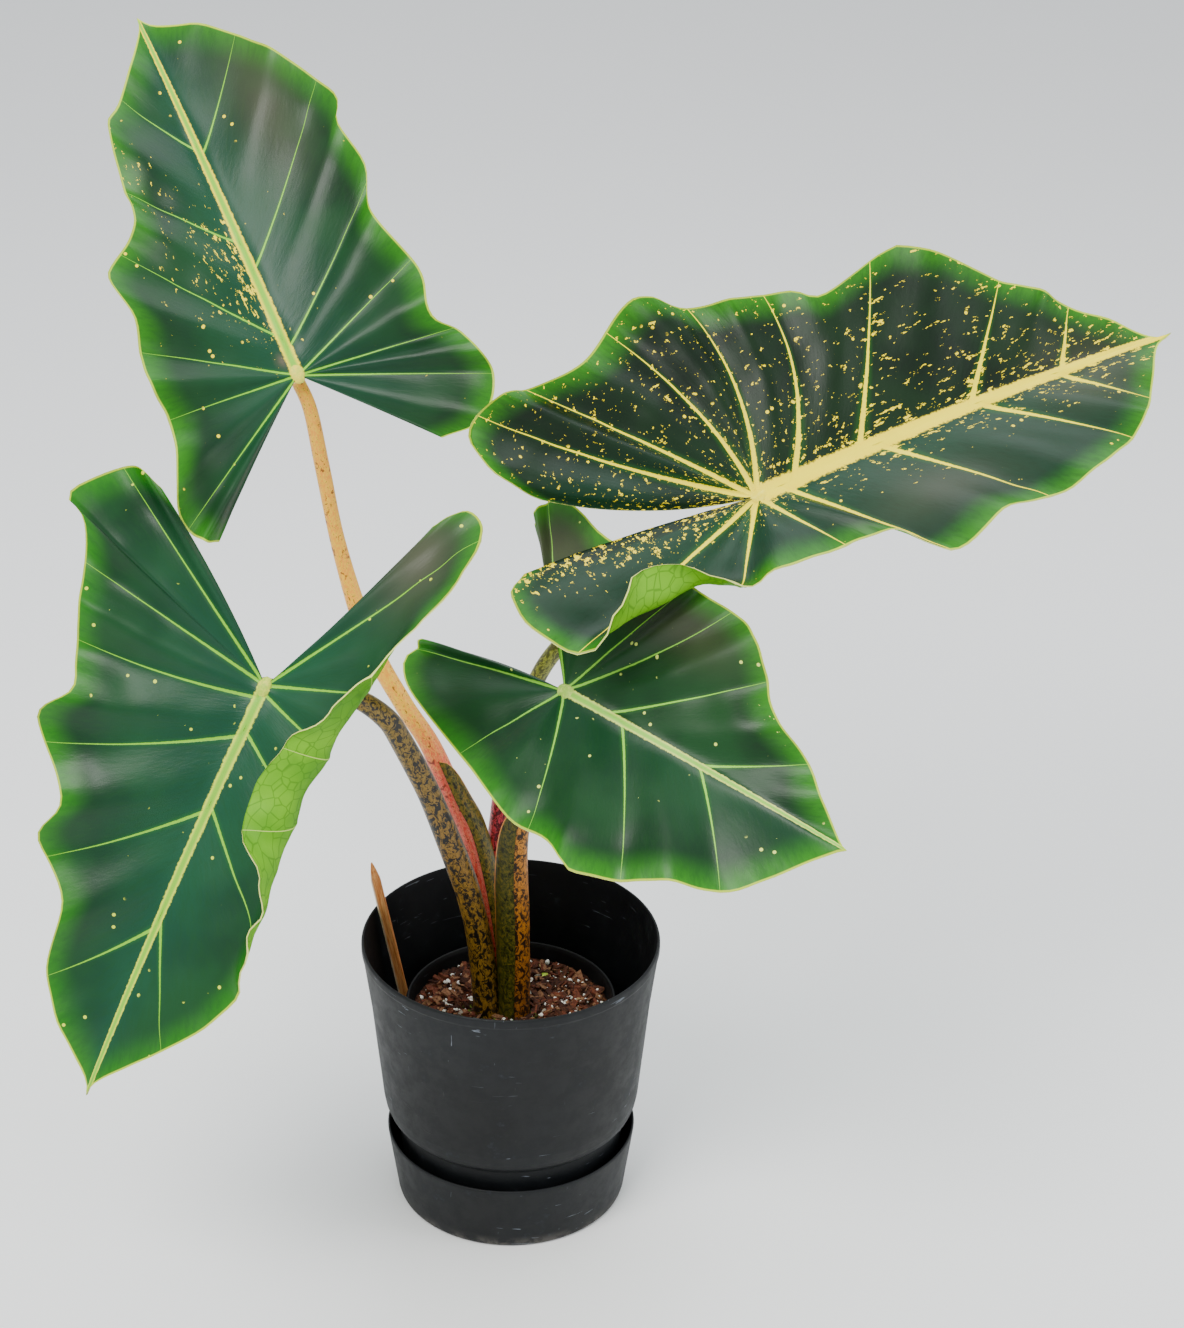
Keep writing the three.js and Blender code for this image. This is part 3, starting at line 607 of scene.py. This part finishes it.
rim_mat = leaf_rim("leaf_margin")
under_mat = leaf_under("leaf_underside")
# The second share in each tones entry places the painted sheen, a bluish reflection painted into the leaf
# colour.
LOOKS = {
    "upper_left": dict(
        quilt=2.6, rib=5.2, vein=1.0,
        tones=tones(
            lambda u, w, q, m: (
                np.where(
                    w < 0,
                    0.85 * bell(u, 90, 75) * near(w, 60) + 0.5 * bell(u, 190, 40) * bell(w, -55, 25),
                    0.25 * near(w, 5)
                )
                + 0.12
            ),
            lambda u, w, q, m: 0.75 * np.clip(1.1 - m * 1.2, 0, 1),
            lambda u, w, q, m: (
                0.35 * bell(u, 200, 60) * bell(w, 60, 25)
                + 0.9 * bell(u, 14, 5) * bell(w, -7, 4)
            ),
        ),
        mats=[
            leaf_upper(
                "leaf_top_upper_left",
                ("#06230a", "#0c3a12", "#2c7d08", "#7fc02a", "#f4dc10", "#0f4430"), 0.34
            ),
            under_mat,
            rim_mat,
        ],
    ),
    "right": dict(
        quilt=3.0, rib=8.4, vein=2.5,
        tones=tones(
            lambda u, w, q, m: (
                0.5
                + 0.3 * near(w, 30)
                + 0.15 * near(q - np.round(q), 0.1)
                - 0.35 * (w > 0) * smooth01(w / 60)
            ),
            lambda u, w, q, m: np.where(
                w > 0, 0.9 - 0.5 * m, 0.05 + 0.55 * bell(u, -120, 70) * bell(w, -40, 30)
            ),
            lambda u, w, q, m: (
                0.25 * bell(u, 120, 50) * bell(w, 60, 25)
                + 0.3 * bell(u, 280, 50) * bell(w, 10, 30)
            ),
        ),
        mats=[
            leaf_upper(
                "leaf_top_right", ("#031304", "#072308", "#2f8205", "#fbe60a", "#fbe000", "#0d3a24"),
                0.36
            ),
            under_mat,
            rim_mat,
        ],
    ),
    "lower_left": dict(
        quilt=2.8, rib=5.0, vein=1.4,
        tones=tones(
            lambda u, w, q, m: 0.08 + 0.25 * near(w, 4),
            lambda u, w, q, m: 0.7 * np.clip(1.1 - m * 1.1, 0, 1),
            lambda u, w, q, m: 0.5 * bell(u, -130, 40) * bell(w, -70, 30),
        ),
        mats=[
            leaf_upper(
                "leaf_top_lower_left",
                ("#08290c", "#0e4016", "#267c08", "#7fc028", "#d2e03a", "#104c36"), 0.32
            ),
            under_mat,
            rim_mat,
        ],
    ),
    "lower_right": dict(
        quilt=2.8, rib=3.8, vein=1.2,
        tones=tones(
            lambda u, w, q, m: 0.14 + 0.25 * bell(u, 170, 40) * bell(w, -50, 25),
            lambda u, w, q, m: 0.45 * np.clip(1.1 - m * 1.0, 0, 1) * (0.4 + 0.6 * (w > 0)),
            lambda u, w, q, m: (
                0.35 * bell(u, 60, 60) * bell(w, -85, 25)
                + 0.45 * bell(u, -60, 40) * bell(w, -90, 30)
            ),
        ),
        mats=[
            leaf_upper(
                "leaf_top_lower_right",
                ("#08270b", "#0f3d14", "#2f8410", "#8cce40", "#dbe86a", "#0f482e"), 0.33
            ),
            under_mat,
            rim_mat,
        ],
    ),
}
for key, leaf in LEAVES.items():
    blade(key, leaf, LOOKS[key])

# ---- shared small shapes ----
BOX_FACES = np.array([(0, 1, 3, 2), (4, 6, 7, 5), (0, 4, 5, 1), (2, 3, 7, 6), (0, 2, 6, 4), (1, 5, 7, 3)])
BOX = np.array([(x, y, z) for x in (-1, 1) for y in (-1, 1) for z in (-1, 1)], float)
BALL = np.array([(0, 0, 1), (1, 0, 0), (0, 1, 0), (-1, 0, 0), (0, -1, 0), (0, 0, -1)], float)


def ball_mesh():
    mesh = bpy.data.meshes.new("ball")
    bm = bmesh.new()
    bmesh.ops.create_icosphere(bm, subdivisions=2, radius=1)
    bm.to_mesh(mesh)
    bm.free()
    v = np.array([p.co[:] for p in mesh.vertices])
    f = np.array([p.vertices[:] for p in mesh.polygons])
    bpy.data.meshes.remove(mesh)
    return v, f


def grain_paint(name, a, b, scale=500, rough=0.9):
    p = Paint(name, Specular_IOR_Level=0.2)
    place = p.local()
    n = p.noise(place, scale, 4, 0.65)
    p.set("Base Color", p.mix(p.step(n, 0.38, 0.62), rgb(a), rgb(b)))
    p.set("Roughness", p.step(n, 0.3, 0.7, rough - 0.08, rough))
    p.bump(n, 0.6, 0.0008)
    return p.mat


HUBS = {
    "upper_left": ("#c8d048", "#ecd848"),
    "right": ("#f2dc20", "#f8e84a"),
    "lower_left": ("#a8c83a", "#d2d850"),
    "lower_right": ("#9cc648", "#c4d868"),
}


# ---- leaf stalks ----
FOOT_Z = 168
STALKS = {
    "upper_left": dict(
        path=[
            (-8, 10, FOOT_Z), (-16, 11, 236), (-23, 13, 283), (-33, 16, 327), (-45, 18, 354),
            (-64, 22, 401), (-85, 26, 436), (-111, 33, 487), (-132, 44, 559), (-144, 50, 625),
            (-152, 52, 672)
        ],
        radii=[(0, 9.5), (0.3, 9), (0.55, 7.5), (0.8, 5.8), (1, 5.2)], slot="stalk_gold",
        skin=(
            ("#e0483c", "#ee7a5c", "#8c2c1c"), ("#ee9a30", "#f2c030", "#8a4c10")
        ), turn_at=(0.36, 0.5), spots=0.6,
    ),
    "right": dict(
        path=[
            (4, 32, FOOT_Z), (-2, 32, 209), (-8, 31, 255), (-12, 31, 301), (-10, 31, 329),
            (-4, 30, 375), (7, 30, 420), (24, 30, 466), (49, 28, 501), (83, 26, 537), (128, 20, 579)
        ],
        radii=[(0, 9), (0.3, 8), (0.6, 6.5), (1, 5.6)], slot="stalk_red",
        skin=(
            ("#b02a38", "#cc4a55", "#551018"), ("#66681e", "#8a8a2c", "#40400c")
        ), turn_at=(0.38, 0.55), spots=0.5,
    ),
    "lower_left": dict(
        path=[
            (-19, -10, FOOT_Z), (-24, -10, 231), (-32, -13, 280), (-41, -18, 316), (-54, -27, 362),
            (-65, -35, 398), (-82, -50, 446), (-92, -60, 470), (-110, -74, 493), (-130, -92, 510)
        ],
        radii=[(0, 10.5), (0.35, 10), (0.7, 8.5), (0.85, 7), (1, 6)], slot="stalk_dark",
        skin=(
            ("#86601a", "#5a4210", "#0c0802"), ("#8a6c1e", "#604c12", "#161002")
        ), turn_at=(0.3, 0.8), spots=0.5,
    ),
    "lower_right": dict(
        path=[
            (4, -9, FOOT_Z), (5, -12, 252), (4, -16, 301), (5, -22, 342), (9, -30, 382), (16, -42, 425),
            (28, -60, 468)
        ],
        radii=[(0, 11), (0.5, 9.5), (0.75, 7.5), (1, 5.6)], slot="stalk_brown",
        skin=(
            ("#a0601c", "#7a4816", "#241406"), ("#c07a20", "#8a5818", "#241404")
        ), turn_at=(0.1, 0.6), spots=0.5,
    ),
}


def stalk_paint(name, skin, turn_at, spots):
    p = Paint(name, IOR=1.45, Specular_IOR_Level=0.4, Coat_Weight=0.12, Coat_Roughness=0.3)
    place = p.attr("tube")
    t = p.split(place)[2]
    warped = p.scaled(place, (0.13, 0.085, 0.0))
    cells = p.noise(warped, 1.6, 4, 0.62, 1.4)
    small = p.noise(p.scaled(place, (0.5, 0.22, 0.0)), 1.5, 3, 0.6, 0.8)
    blend = p.step(p.math("ADD", t, p.math("MULTIPLY", p.math("SUBTRACT", small, 0.5), 0.1)), *turn_at)
    first = p.mix(p.step(small, 0.4, 0.62), rgb(skin[0][0]), rgb(skin[0][1]))
    second = p.mix(p.step(small, 0.4, 0.62), rgb(skin[1][0]), rgb(skin[1][1]))
    dark = p.mix(blend, rgb(skin[0][2]), rgb(skin[1][2]))
    blotch = p.step(cells, spots, spots + 0.03)
    speck = p.step(small, 0.63, 0.66)
    colour = p.mix(p.math("MAXIMUM", blotch, speck), p.mix(blend, first, second), dark)
    p.set("Base Color", colour)
    p.set("Roughness", p.step(small, 0.3, 0.7, 0.34, 0.5))
    p.bump(small, 0.25, 0.0006)
    return p.mat


def stalk_frames(key, stations=160):
    leaf = LEAVES[key]
    _, _, face = leaf_axes(leaf)
    top = np.asarray(leaf["attach"], float)
    path = spline(list(STALKS[key]["path"]) + [tuple(top - face * 16), tuple(top - face * 0.8)], 14)
    d = along(path)
    t = np.linspace(0, 1, stations)
    centre = np.stack([np.interp(t * d[-1], d, path[:, k]) for k in range(3)], -1)
    heading = unit(np.gradient(centre, axis=0))
    across = np.zeros_like(centre)
    a = np.array([1.0, 0, 0])
    for k in range(stations):
        a = unit(a - heading[k] * a.dot(heading[k]))
        across[k] = a
    return t, d[-1], centre, across, np.cross(heading, across), heading


def stalk(key):
    spec = STALKS[key]
    sides = 40
    t, length, centre, across, other, _ = stalk_frames(key)
    r = between(spec["radii"], t)
    r = r * (1 + 0.025 * np.sin(t * 23) + 0.10 * np.exp(-((t - 1) / 0.02) ** 2))
    a = np.arange(sides + 1) * 2 * np.pi / sides
    ring = 1 + 0.03 * np.cos(3 * a)[None, :] + 0 * t[:, None]
    pts = (
        centre[:, None]
        + (r[:, None] * ring * np.cos(a))[..., None] * across[:, None]
        + (r[:, None] * ring * np.sin(a))[..., None] * other[:, None]
    )
    k, i = np.meshgrid(np.arange(len(t) - 1), np.arange(sides), indexing="ij")
    w = sides + 1
    faces = np.stack([k * w + i, k * w + i + 1, (k + 1) * w + i + 1, (k + 1) * w + i], -1).reshape(-1, 4)
    tube = np.stack([np.outer(r, a), np.outer(t * length, np.ones(w)), np.outer(t, np.ones(w))], -1)
    mat = stalk_paint("skin_" + key, spec["skin"], spec["turn_at"], spec["spots"])
    obj = piece(
        "stalk_" + key, pts.reshape(-1, 3), faces, [mat], ["petiole_" + key],
        attrs={"tube": tube.reshape(-1, 3)}
    )
    weld(obj)


for key in STALKS:
    stalk(key)

# Sheaths at the foot of two stalks: share of the stalk covered, angles round it, how far the edge stands off.
SHEATHS = {
    "upper_left": dict(
        reach=0.40, angles=(-75, 45), flare=5.5, colours=("#7a5c14", "#4e4a10", "#1c1404"),
        edge="#d99a50"
    ),
    "lower_right": dict(
        reach=0.60, angles=(265, 165), flare=6.0, colours=("#5c4e10", "#3a3a0a", "#141204"),
        edge="#e08a3c"
    ),
}


def sheath_paint(name, colours, edge):
    p = Paint(name, IOR=1.45, Specular_IOR_Level=0.3)
    place = p.attr("tube")
    spots = p.noise(p.scaled(place, (0.5, 0.3, 0.0)), 0.9, 4, 0.65, 1.0)
    body = p.mix(
        p.step(spots, 0.38, 0.5), rgb(colours[2]),
        p.mix(p.step(spots, 0.5, 0.62), rgb(colours[1]), rgb(colours[0]))
    )
    colour = p.mix(p.step(p.split(place)[2], 0.9, 0.96), body, rgb(edge))
    p.set("Base Color", colour)
    p.set("Roughness", p.step(spots, 0.3, 0.7, 0.4, 0.55))
    p.bump(spots, 0.3, 0.0006)
    return p.mat


def sheath(key, reach, angles, flare, colours, edge):
    """A closed flap round the stalk: one side grows from it, the other stands off as a free edge."""
    t, length, centre, across, other, _ = stalk_frames(key)
    r = between(STALKS[key]["radii"], t)
    rows, cols = 60, 24
    h, c = np.meshgrid(np.linspace(0.01, 1, rows), np.linspace(0, 1, cols), indexing="ij")
    narrow = np.sqrt(np.clip(1 - h**5, 0.0009, 1))
    angle = np.radians(angles[0] + (angles[1] - angles[0]) * c * narrow)
    place = h * reach
    mid = [np.stack([np.interp(place, t, a[:, k]) for k in range(3)], -1) for a in (centre, across, other)]
    bulge = np.sin(np.pi * np.clip(h, 0.15, 1)) ** 0.6
    stand = np.interp(place, t, r) + 0.2 + flare * bulge * c**2.2 * narrow
    layers = []
    for extra in (1.3, -0.4):
        d = (stand + extra)[..., None]
        layer = mid[0] + d * np.cos(angle)[..., None] * mid[1] + d * np.sin(angle)[..., None] * mid[2]
        layers.append(layer.reshape(-1, 3))
    ids = np.arange(rows * cols).reshape(rows, cols)
    n = rows * cols
    quads = np.stack([ids[:-1, :-1], ids[:-1, 1:], ids[1:, 1:], ids[1:, :-1]], -1).reshape(-1, 4)
    if angles[1] < angles[0]:
        quads = quads[:, ::-1]
    loop = np.r_[ids[0, :], ids[1:, -1], ids[-1, -2::-1], ids[-2:0:-1, 0]]
    nxt = np.roll(loop, -1)
    rim = np.stack([nxt, loop, loop + n, nxt + n], -1)
    if angles[1] < angles[0]:
        rim = rim[:, ::-1]
    tube = np.stack([angle * 9, place * length, c], -1).reshape(-1, 3)
    mat = sheath_paint("sheath_skin_" + key, colours, edge)
    piece(
        "sheath_" + key, np.vstack(layers), np.vstack([quads, quads[:, ::-1] + n, rim]), [mat],
        [], attrs={"tube": np.vstack([tube, tube])}
    )


for key, spec in SHEATHS.items():
    sheath(key, **spec)


def hub(key, colour):
    """The pale knob where the ribs meet above the stalk."""
    leaf = LEAVES[key]
    ahead, right, face = leaf_axes(leaf)
    ball, faces = ball_mesh()
    place = np.asarray(leaf["attach"], float) - face * 1.0 + ahead * 2
    pts = place + ball @ np.array([ahead * 9, right * 6.5, face * 3.6])
    mat = grain_paint("hub_" + key, *colour, 260, 0.5)
    piece("hub_" + key, pts, faces, [mat], [])


for key, colour in HUBS.items():
    hub(key, colour)

# ---- pots ----
def pot_paint(name, dark, light, scuff, rough):
    p = Paint(name, IOR=1.46, Specular_IOR_Level=0.3)
    place = p.local()
    z = p.split(place)[2]
    broad = p.noise(place, 9, 3, 0.5)
    dust = p.noise(place, 60, 5, 0.7)
    lines = p.noise(p.scaled(place, (40, 40, 420)), 1.0, 2, 0.5, 0.6)
    cross = p.noise(p.scaled(place, (300, 180, 30)), 1.0, 2, 0.5, 1.2)
    colour = p.mix(p.step(broad, 0.35, 0.68), dark, light)
    colour = p.mix(p.math("MULTIPLY", p.step(dust, 0.58, 0.8), scuff), colour, rgb("#6d7684"))
    marks = p.math("MAXIMUM", p.step(lines, 0.70, 0.73), p.step(cross, 0.74, 0.77))
    colour = p.mix(
        p.math("MULTIPLY", marks, p.math("MULTIPLY", p.step(broad, 0.45, 0.6), 0.5)), colour,
        rgb("#848c98")
    )
    low = p.step(z, 0.0, 0.012, 0.35, 0)
    colour = p.mix(p.math("MULTIPLY", low, p.step(dust, 0.4, 0.6)), colour, rgb("#7c7770"))
    p.set("Base Color", colour)
    p.set("Roughness", p.step(dust, 0.3, 0.75, rough, rough + 0.16))
    p.bump(p.math("ADD", p.math("MULTIPLY", dust, 0.4), marks), 0.25, 0.0004)
    return p.mat


POT = pot_paint("planter_plastic", rgb("#07090b"), rgb("#0d1013"), 0.10, 0.5)
INNER = pot_paint("nursery_plastic", rgb("#050607"), rgb("#0a0b0d"), 0.06, 0.5)


def rounded(profile, radius=0.8, n=4):
    """The profile with each corner cut by a small arc."""
    p = np.asarray(profile, float)
    out = [p[0]]
    for a, b, c in zip(p[:-2], p[1:-1], p[2:]):
        ra = min(radius, np.linalg.norm(a - b) * 0.45)
        rc = min(radius, np.linalg.norm(c - b) * 0.45)
        s = b + unit(a - b) * ra
        e = b + unit(c - b) * rc
        for t in np.linspace(0, 1, n):
            out.append((1 - t) ** 2 * s + 2 * t * (1 - t) * b + t * t * e)
    out.append(p[-1])
    return out


def pot(name, profile, mat, node):
    pts, faces = turned(rounded(profile), 160)
    piece(name, pts, faces, [mat], [node])


pot("saucer_shell", [
    (0.5, 0), (91, 0), (93.4, 1), (94.3, 4), (96.5, 20), (101.6, 56), (102, 59.6), (101.1, 61),
    (99.9, 60.4),
    (92, 5), (90.6, 2.4), (0.5, 2.4),
], POT, "saucer")
pot("planter_shell", [
    (0.5, 2.7), (86, 2.7), (88, 4.7), (93, 73), (93.6, 75), (97.4, 78), (101, 82), (103.4, 88), (104.8, 96),
    (107, 120), (109.4, 144), (112.8, 180), (117.4, 216), (119, 228), (119.2, 229.6), (120, 231),
    (120, 236.4), (119.2, 238), (117.8, 238),
    (116.6, 229), (115, 216), (110.4, 180), (102.4, 96), (100.8, 88), (98.4, 83.6), (91.8, 78), (90.4, 73),
    (85.6, 7.1), (83.6, 5.1), (0.5, 5.1),
], POT, "outer_pot")
pot("nursery_shell", [
    (0.5, 5.4), (60, 5.4), (62, 7.4), (83, 174.4), (85, 175), (85, 178.8), (84.2, 179.4), (83, 179.4),
    (81.6, 176),
    (60.6, 8.8), (58.6, 6.8), (0.5, 6.8),
], INNER, "inner_pot")

# ---- potting mix and what lies on it ----
SOIL_EDGE_Z = 166
SOIL_TOP_Z = 171.5


def soil_z(x, y):
    r = np.hypot(x, y)
    base = SOIL_EDGE_Z + (SOIL_TOP_Z - SOIL_EDGE_Z) * smooth01((76 - r) / 40)
    lumps = np.sin(x * 0.31 + 1.3 * np.sin(y * 0.27)) * np.cos(y * 0.36 - 0.5)
    small = np.sin(x * 0.9 + y * 0.4) * np.sin(y * 1.1 - x * 0.3)
    return base + 1.0 * lumps + 0.6 * small


def mix_paint():
    p = Paint("potting_mix", Specular_IOR_Level=0.15)
    place = p.local()
    grain = p.noise(place, 420, 5, 0.75)
    lump = p.cells(place, 260)
    colour = p.mix(p.step(grain, 0.35, 0.65), rgb("#1d100b"), rgb("#4a2a1c"))
    colour = p.mix(p.step(lump, 0.55, 0.9), colour, rgb("#6a4028"))
    p.set("Base Color", colour)
    p.set("Roughness", p.step(grain, 0.3, 0.7, 0.85, 1.0))
    p.bump(p.math("ADD", grain, lump), 0.9, 0.002)
    return p.mat


def soil():
    z_low = 7.1
    rings = np.r_[0.6, np.linspace(2, 80.2, 60)]
    segs = 180
    pts, _ = turned([(r, 0) for r in rings], segs)
    pts[:, 2] = soil_z(pts[:, 0], pts[:, 1]) + rng.normal(0, 0.35, len(pts))
    wall, _ = turned([(79.6, 160), (60.3, 9), (58.6, z_low), (0.6, z_low)], segs)
    allp = np.vstack([pts, wall])
    total = len(rings) + 4
    k, i = np.meshgrid(np.arange(total - 1), np.arange(segs), indexing="ij")
    j = (i + 1) % segs
    faces = np.stack(
        [k * segs + i, (k + 1) * segs + i, (k + 1) * segs + j, k * segs + j], -1
    ).reshape(-1, 4)
    piece("soil_body", allp, faces, [mix_paint()], ["soil"])


def spin():
    q = rng.normal(size=4)
    q /= np.linalg.norm(q)
    w, x, y, z = q
    return np.array([
        (1 - 2 * (y * y + z * z), 2 * (x * y - z * w), 2 * (x * z + y * w)),
        (2 * (x * y + z * w), 1 - 2 * (x * x + z * z), 2 * (y * z - x * w)),
        (2 * (x * z - y * w), 2 * (y * z + x * w), 1 - 2 * (x * x + y * y)),
    ])


FEET = [(-8, 10, 10), (4, 32, 9.5), (-19, -10, 11), (4, -9, 11.5)]


def spot(r_max=77, r_min=0):
    while True:
        r = math.sqrt(rng.uniform(r_min**2, r_max**2))
        a = rng.uniform(0, 2 * math.pi)
        x, y = r * math.cos(a), r * math.sin(a)
        if all(math.hypot(x - fx, y - fy) > fr + 2 for fx, fy, fr in FEET):
            return x, y


def litter(name, count, shape, faces, size, mats, nodes, flat=0.6, lift=0.2, smooth=False, area=spot):
    """Many small pieces lying at random on the potting mix, joined into one object."""
    pts, fcs, mat_ids = [], [], []
    for k in range(count):
        x, y = area()
        s = size()
        body = shape * (1 + rng.uniform(-0.28, 0.28, shape.shape)) * s
        tilt = spin()
        if flat:
            a = rng.uniform(0, 2 * math.pi)
            lean = rng.normal(0, flat, 2)
            ca, sa = math.cos(a), math.sin(a)
            tilt = np.array([(ca, -sa, 0), (sa, ca, 0), (lean[0], lean[1], 1)])
        p = body @ tilt.T
        p += (x, y, float(soil_z(x, y)) + lift * float(np.max(s)) + 0.6)
        pts.append(p)
        fcs.append(faces + k * len(shape))
        mat_ids += [k % len(mats)] * len(faces)
    return piece(name, np.vstack(pts), np.vstack(fcs), mats, nodes, mat_ids, smooth=smooth)


soil()
ball, ball_faces = ball_mesh()
bark_mats = [
    grain_paint("bark_red", "#4a2418", "#6e3a26"), grain_paint("bark_dark", "#2a1610", "#432519"),
    grain_paint("bark_tan", "#6b4630", "#8a6246"), grain_paint("bark_brown", "#3a2016", "#5a3322"),
]
litter(
    "bark_litter", 900, BOX, BOX_FACES,
    lambda: np.array([rng.uniform(1.2, 5.5), rng.uniform(0.9, 2.8), rng.uniform(0.5, 1.4)]),
    bark_mats, ["bark_chip_%d" % i for i in range(1, 7)], flat=0.35,
)
litter(
    "perlite_litter", 420, ball, ball_faces,
    lambda: np.array([1, 1, 0.85]) * rng.choice([0.9, 1.3, 1.8, 2.3], p=[0.4, 0.3, 0.2, 0.1]),
    [grain_paint("perlite_white", "#d9d4ca", "#f1eee8", 700)],
    ["perlite_%d" % i for i in range(1, 9)], flat=0, smooth=True,
)
litter(
    "stone_litter", 34, ball, ball_faces,
    lambda: np.array([rng.uniform(1.6, 3.2), rng.uniform(1.3, 2.4), rng.uniform(0.9, 1.6)]),
    [grain_paint("stone_tan", "#8f6a4a", "#b5946c"), grain_paint("stone_grey", "#6b6258", "#948a7c")],
    [], flat=0.3, smooth=True,
)


def near_feet():
    while True:
        fx, fy, fr = FEET[rng.integers(len(FEET))]
        a = rng.uniform(0, 2 * math.pi)
        r = fr + abs(rng.normal(0, 5)) + 1
        x, y = fx + r * math.cos(a), fy + r * math.sin(a)
        if y < 30:
            return x, y


litter(
    "moss_litter", 260, ball, ball_faces, lambda: np.array([1, 1, 0.7]) * rng.uniform(0.6, 1.5),
    [
        grain_paint("moss_green", "#3a4a14", "#6f7f2c", 900, 1.0),
        grain_paint("moss_dark", "#2c2c10", "#4a4a1c", 900, 1.0)
    ],
    [], flat=0, smooth=True, area=near_feet,
)


def scrap():
    n = 16
    a = np.arange(n) * 2 * np.pi / n
    r = 5.0 * (1 + 0.12 * np.sin(3 * a) + 0.08 * np.sin(5 * a + 1))
    x = 24 + r * np.cos(a)
    y = 46 + 0.75 * r * np.sin(a)
    z0 = float(soil_z(24, 46)) + 2.4
    rim = np.stack([x, y, z0 + 0.5 * np.sin(2 * a)], -1)
    pts = np.vstack([rim, rim - (0, 0, 0.8), [(24, 46, z0 + 0.6)], [(24, 46, z0 - 0.2)]])
    faces = (
        [(i, (i + 1) % n, 2 * n) for i in range(n)]
        + [((i + 1) % n + n, i + n, 2 * n + 1) for i in range(n)]
    )
    tri = (
        [tuple(f) for f in faces]
        + [(i + n, (i + 1) % n + n, (i + 1) % n) for i in range(n)]
        + [(i + n, (i + 1) % n, i) for i in range(n)]
    )
    piece(
        "scrap", pts, tri, [grain_paint("scrap_lime", "#8fb02c", "#b9c84e", 200, 0.6)],
        ["leaf_scrap"]
    )


scrap()


# ---- wooden stick ----
def stick():
    p = Paint("stick_wood", Specular_IOR_Level=0.25)
    place = p.attr("tube")
    grain = p.noise(p.scaled(place, (0.9, 0.9, 0.035)), 1.6, 4, 0.6, 0.6)
    colour = p.mix(p.step(grain, 0.35, 0.65), rgb("#c06a30"), rgb("#eaa868"))
    # painted highlight: the left edge, toward the key light, is painted pale cream
    colour = p.mix(p.step(p.split(place)[0], -3.4, -1.6, 0.8, 0), colour, rgb("#f0dcc0"))
    p.set("Base Color", colour)
    p.set("Roughness", p.step(grain, 0.3, 0.7, 0.6, 0.78))
    p.bump(grain, 0.4, 0.0005)
    foot = np.array([-62.8, 37, 14.0])
    top = np.array([-113.5, 37, 283.0])
    length = np.linalg.norm(top - foot)
    up = unit(top - foot)
    across = unit(np.cross((0, 1, 0), up))
    out = np.cross(across, up)
    outline = []
    for h, half in [
        (0, 3.6), (1, 3.8), (length * 0.5, 3.8), (length - 16.5, 3.8), (length - 15.5, 3.7),
        (length - 5, 1.8), (length - 0.6, 0.7), (length, 0.2)
    ]:
        d = 2.5 if h < length - 12 else 2.5 * max(0.25, (length - h) / 12)
        for sx, sy in (
            (-1, -0.75), (-0.75, -1), (0.75, -1), (1, -0.75), (1, 0.75), (0.75, 1), (-0.75, 1),
            (-1, 0.75)
        ):
            outline.append((sx * half, sy * d, h))
    local = np.array(outline)
    pts = foot + local[:, :1] * across + local[:, 1:2] * out + local[:, 2:] * up
    k, i = np.meshgrid(np.arange(7), np.arange(8), indexing="ij")
    j = (i + 1) % 8
    faces = np.stack([k * 8 + i, k * 8 + j, (k + 1) * 8 + j, (k + 1) * 8 + i], -1).reshape(-1, 4).tolist()
    faces += [tuple(range(8))[::-1], tuple(range(56, 64))]
    piece("stick", pts, faces, [p.mat], ["wooden_stick"], attrs={"tube": local}, smooth=False)


stick()

# ---- floor, light ----
floor_mesh = bpy.data.meshes.new("floor")
FLOOR_HALF = 6
FLOOR_Z = -0.0005
corners = [(x * FLOOR_HALF, y * FLOOR_HALF, FLOOR_Z) for x, y in ((-1, -1), (1, -1), (1, 1), (-1, 1))]
floor_mesh.from_pydata(corners, [], [(0, 1, 2, 3)])
floor = bpy.data.objects.new("floor", floor_mesh)
scene.collection.objects.link(floor)
fp = Paint("floor_pale", Specular_IOR_Level=0.1)
fp.set("Base Color", fp.mix(fp.noise(fp.local(), 3), (0.90, 0.90, 0.90, 1), (0.92, 0.92, 0.92, 1)))
fp.set("Roughness", 0.9)
floor_mesh.materials.append(fp.mat)

world = bpy.data.worlds.new("studio")
scene.world = world
world.use_nodes = True
world.node_tree.nodes["Background"].inputs[0].default_value = (0.93, 0.97, 1.0, 1)
world.node_tree.nodes["Background"].inputs[1].default_value = 0.95


def area_light(name, where, target, size, power, colour=(1, 1, 1)):
    data = bpy.data.lights.new(name, "AREA")
    data.shape = "RECTANGLE"
    data.size, data.size_y = size
    data.energy = power
    data.color = colour
    lamp = bpy.data.objects.new(name, data)
    scene.collection.objects.link(lamp)
    lamp.location = where
    lamp.rotation_euler = (Vector(target) - Vector(where)).to_track_quat("-Z", "Y").to_euler()


area_light("key", (-1.0, -1.6, 2.6), (0, 0, 0.5), (1.5, 1.1), 88, (1.0, 0.98, 0.95))
area_light("top", (0.4, 0.9, 2.6), (0, 0, 0.5), (2.2, 1.6), 40, (0.93, 0.97, 1.0))
area_light("side", (2.2, -0.6, 1.2), (0, 0, 0.4), (0.9, 1.6), 18)
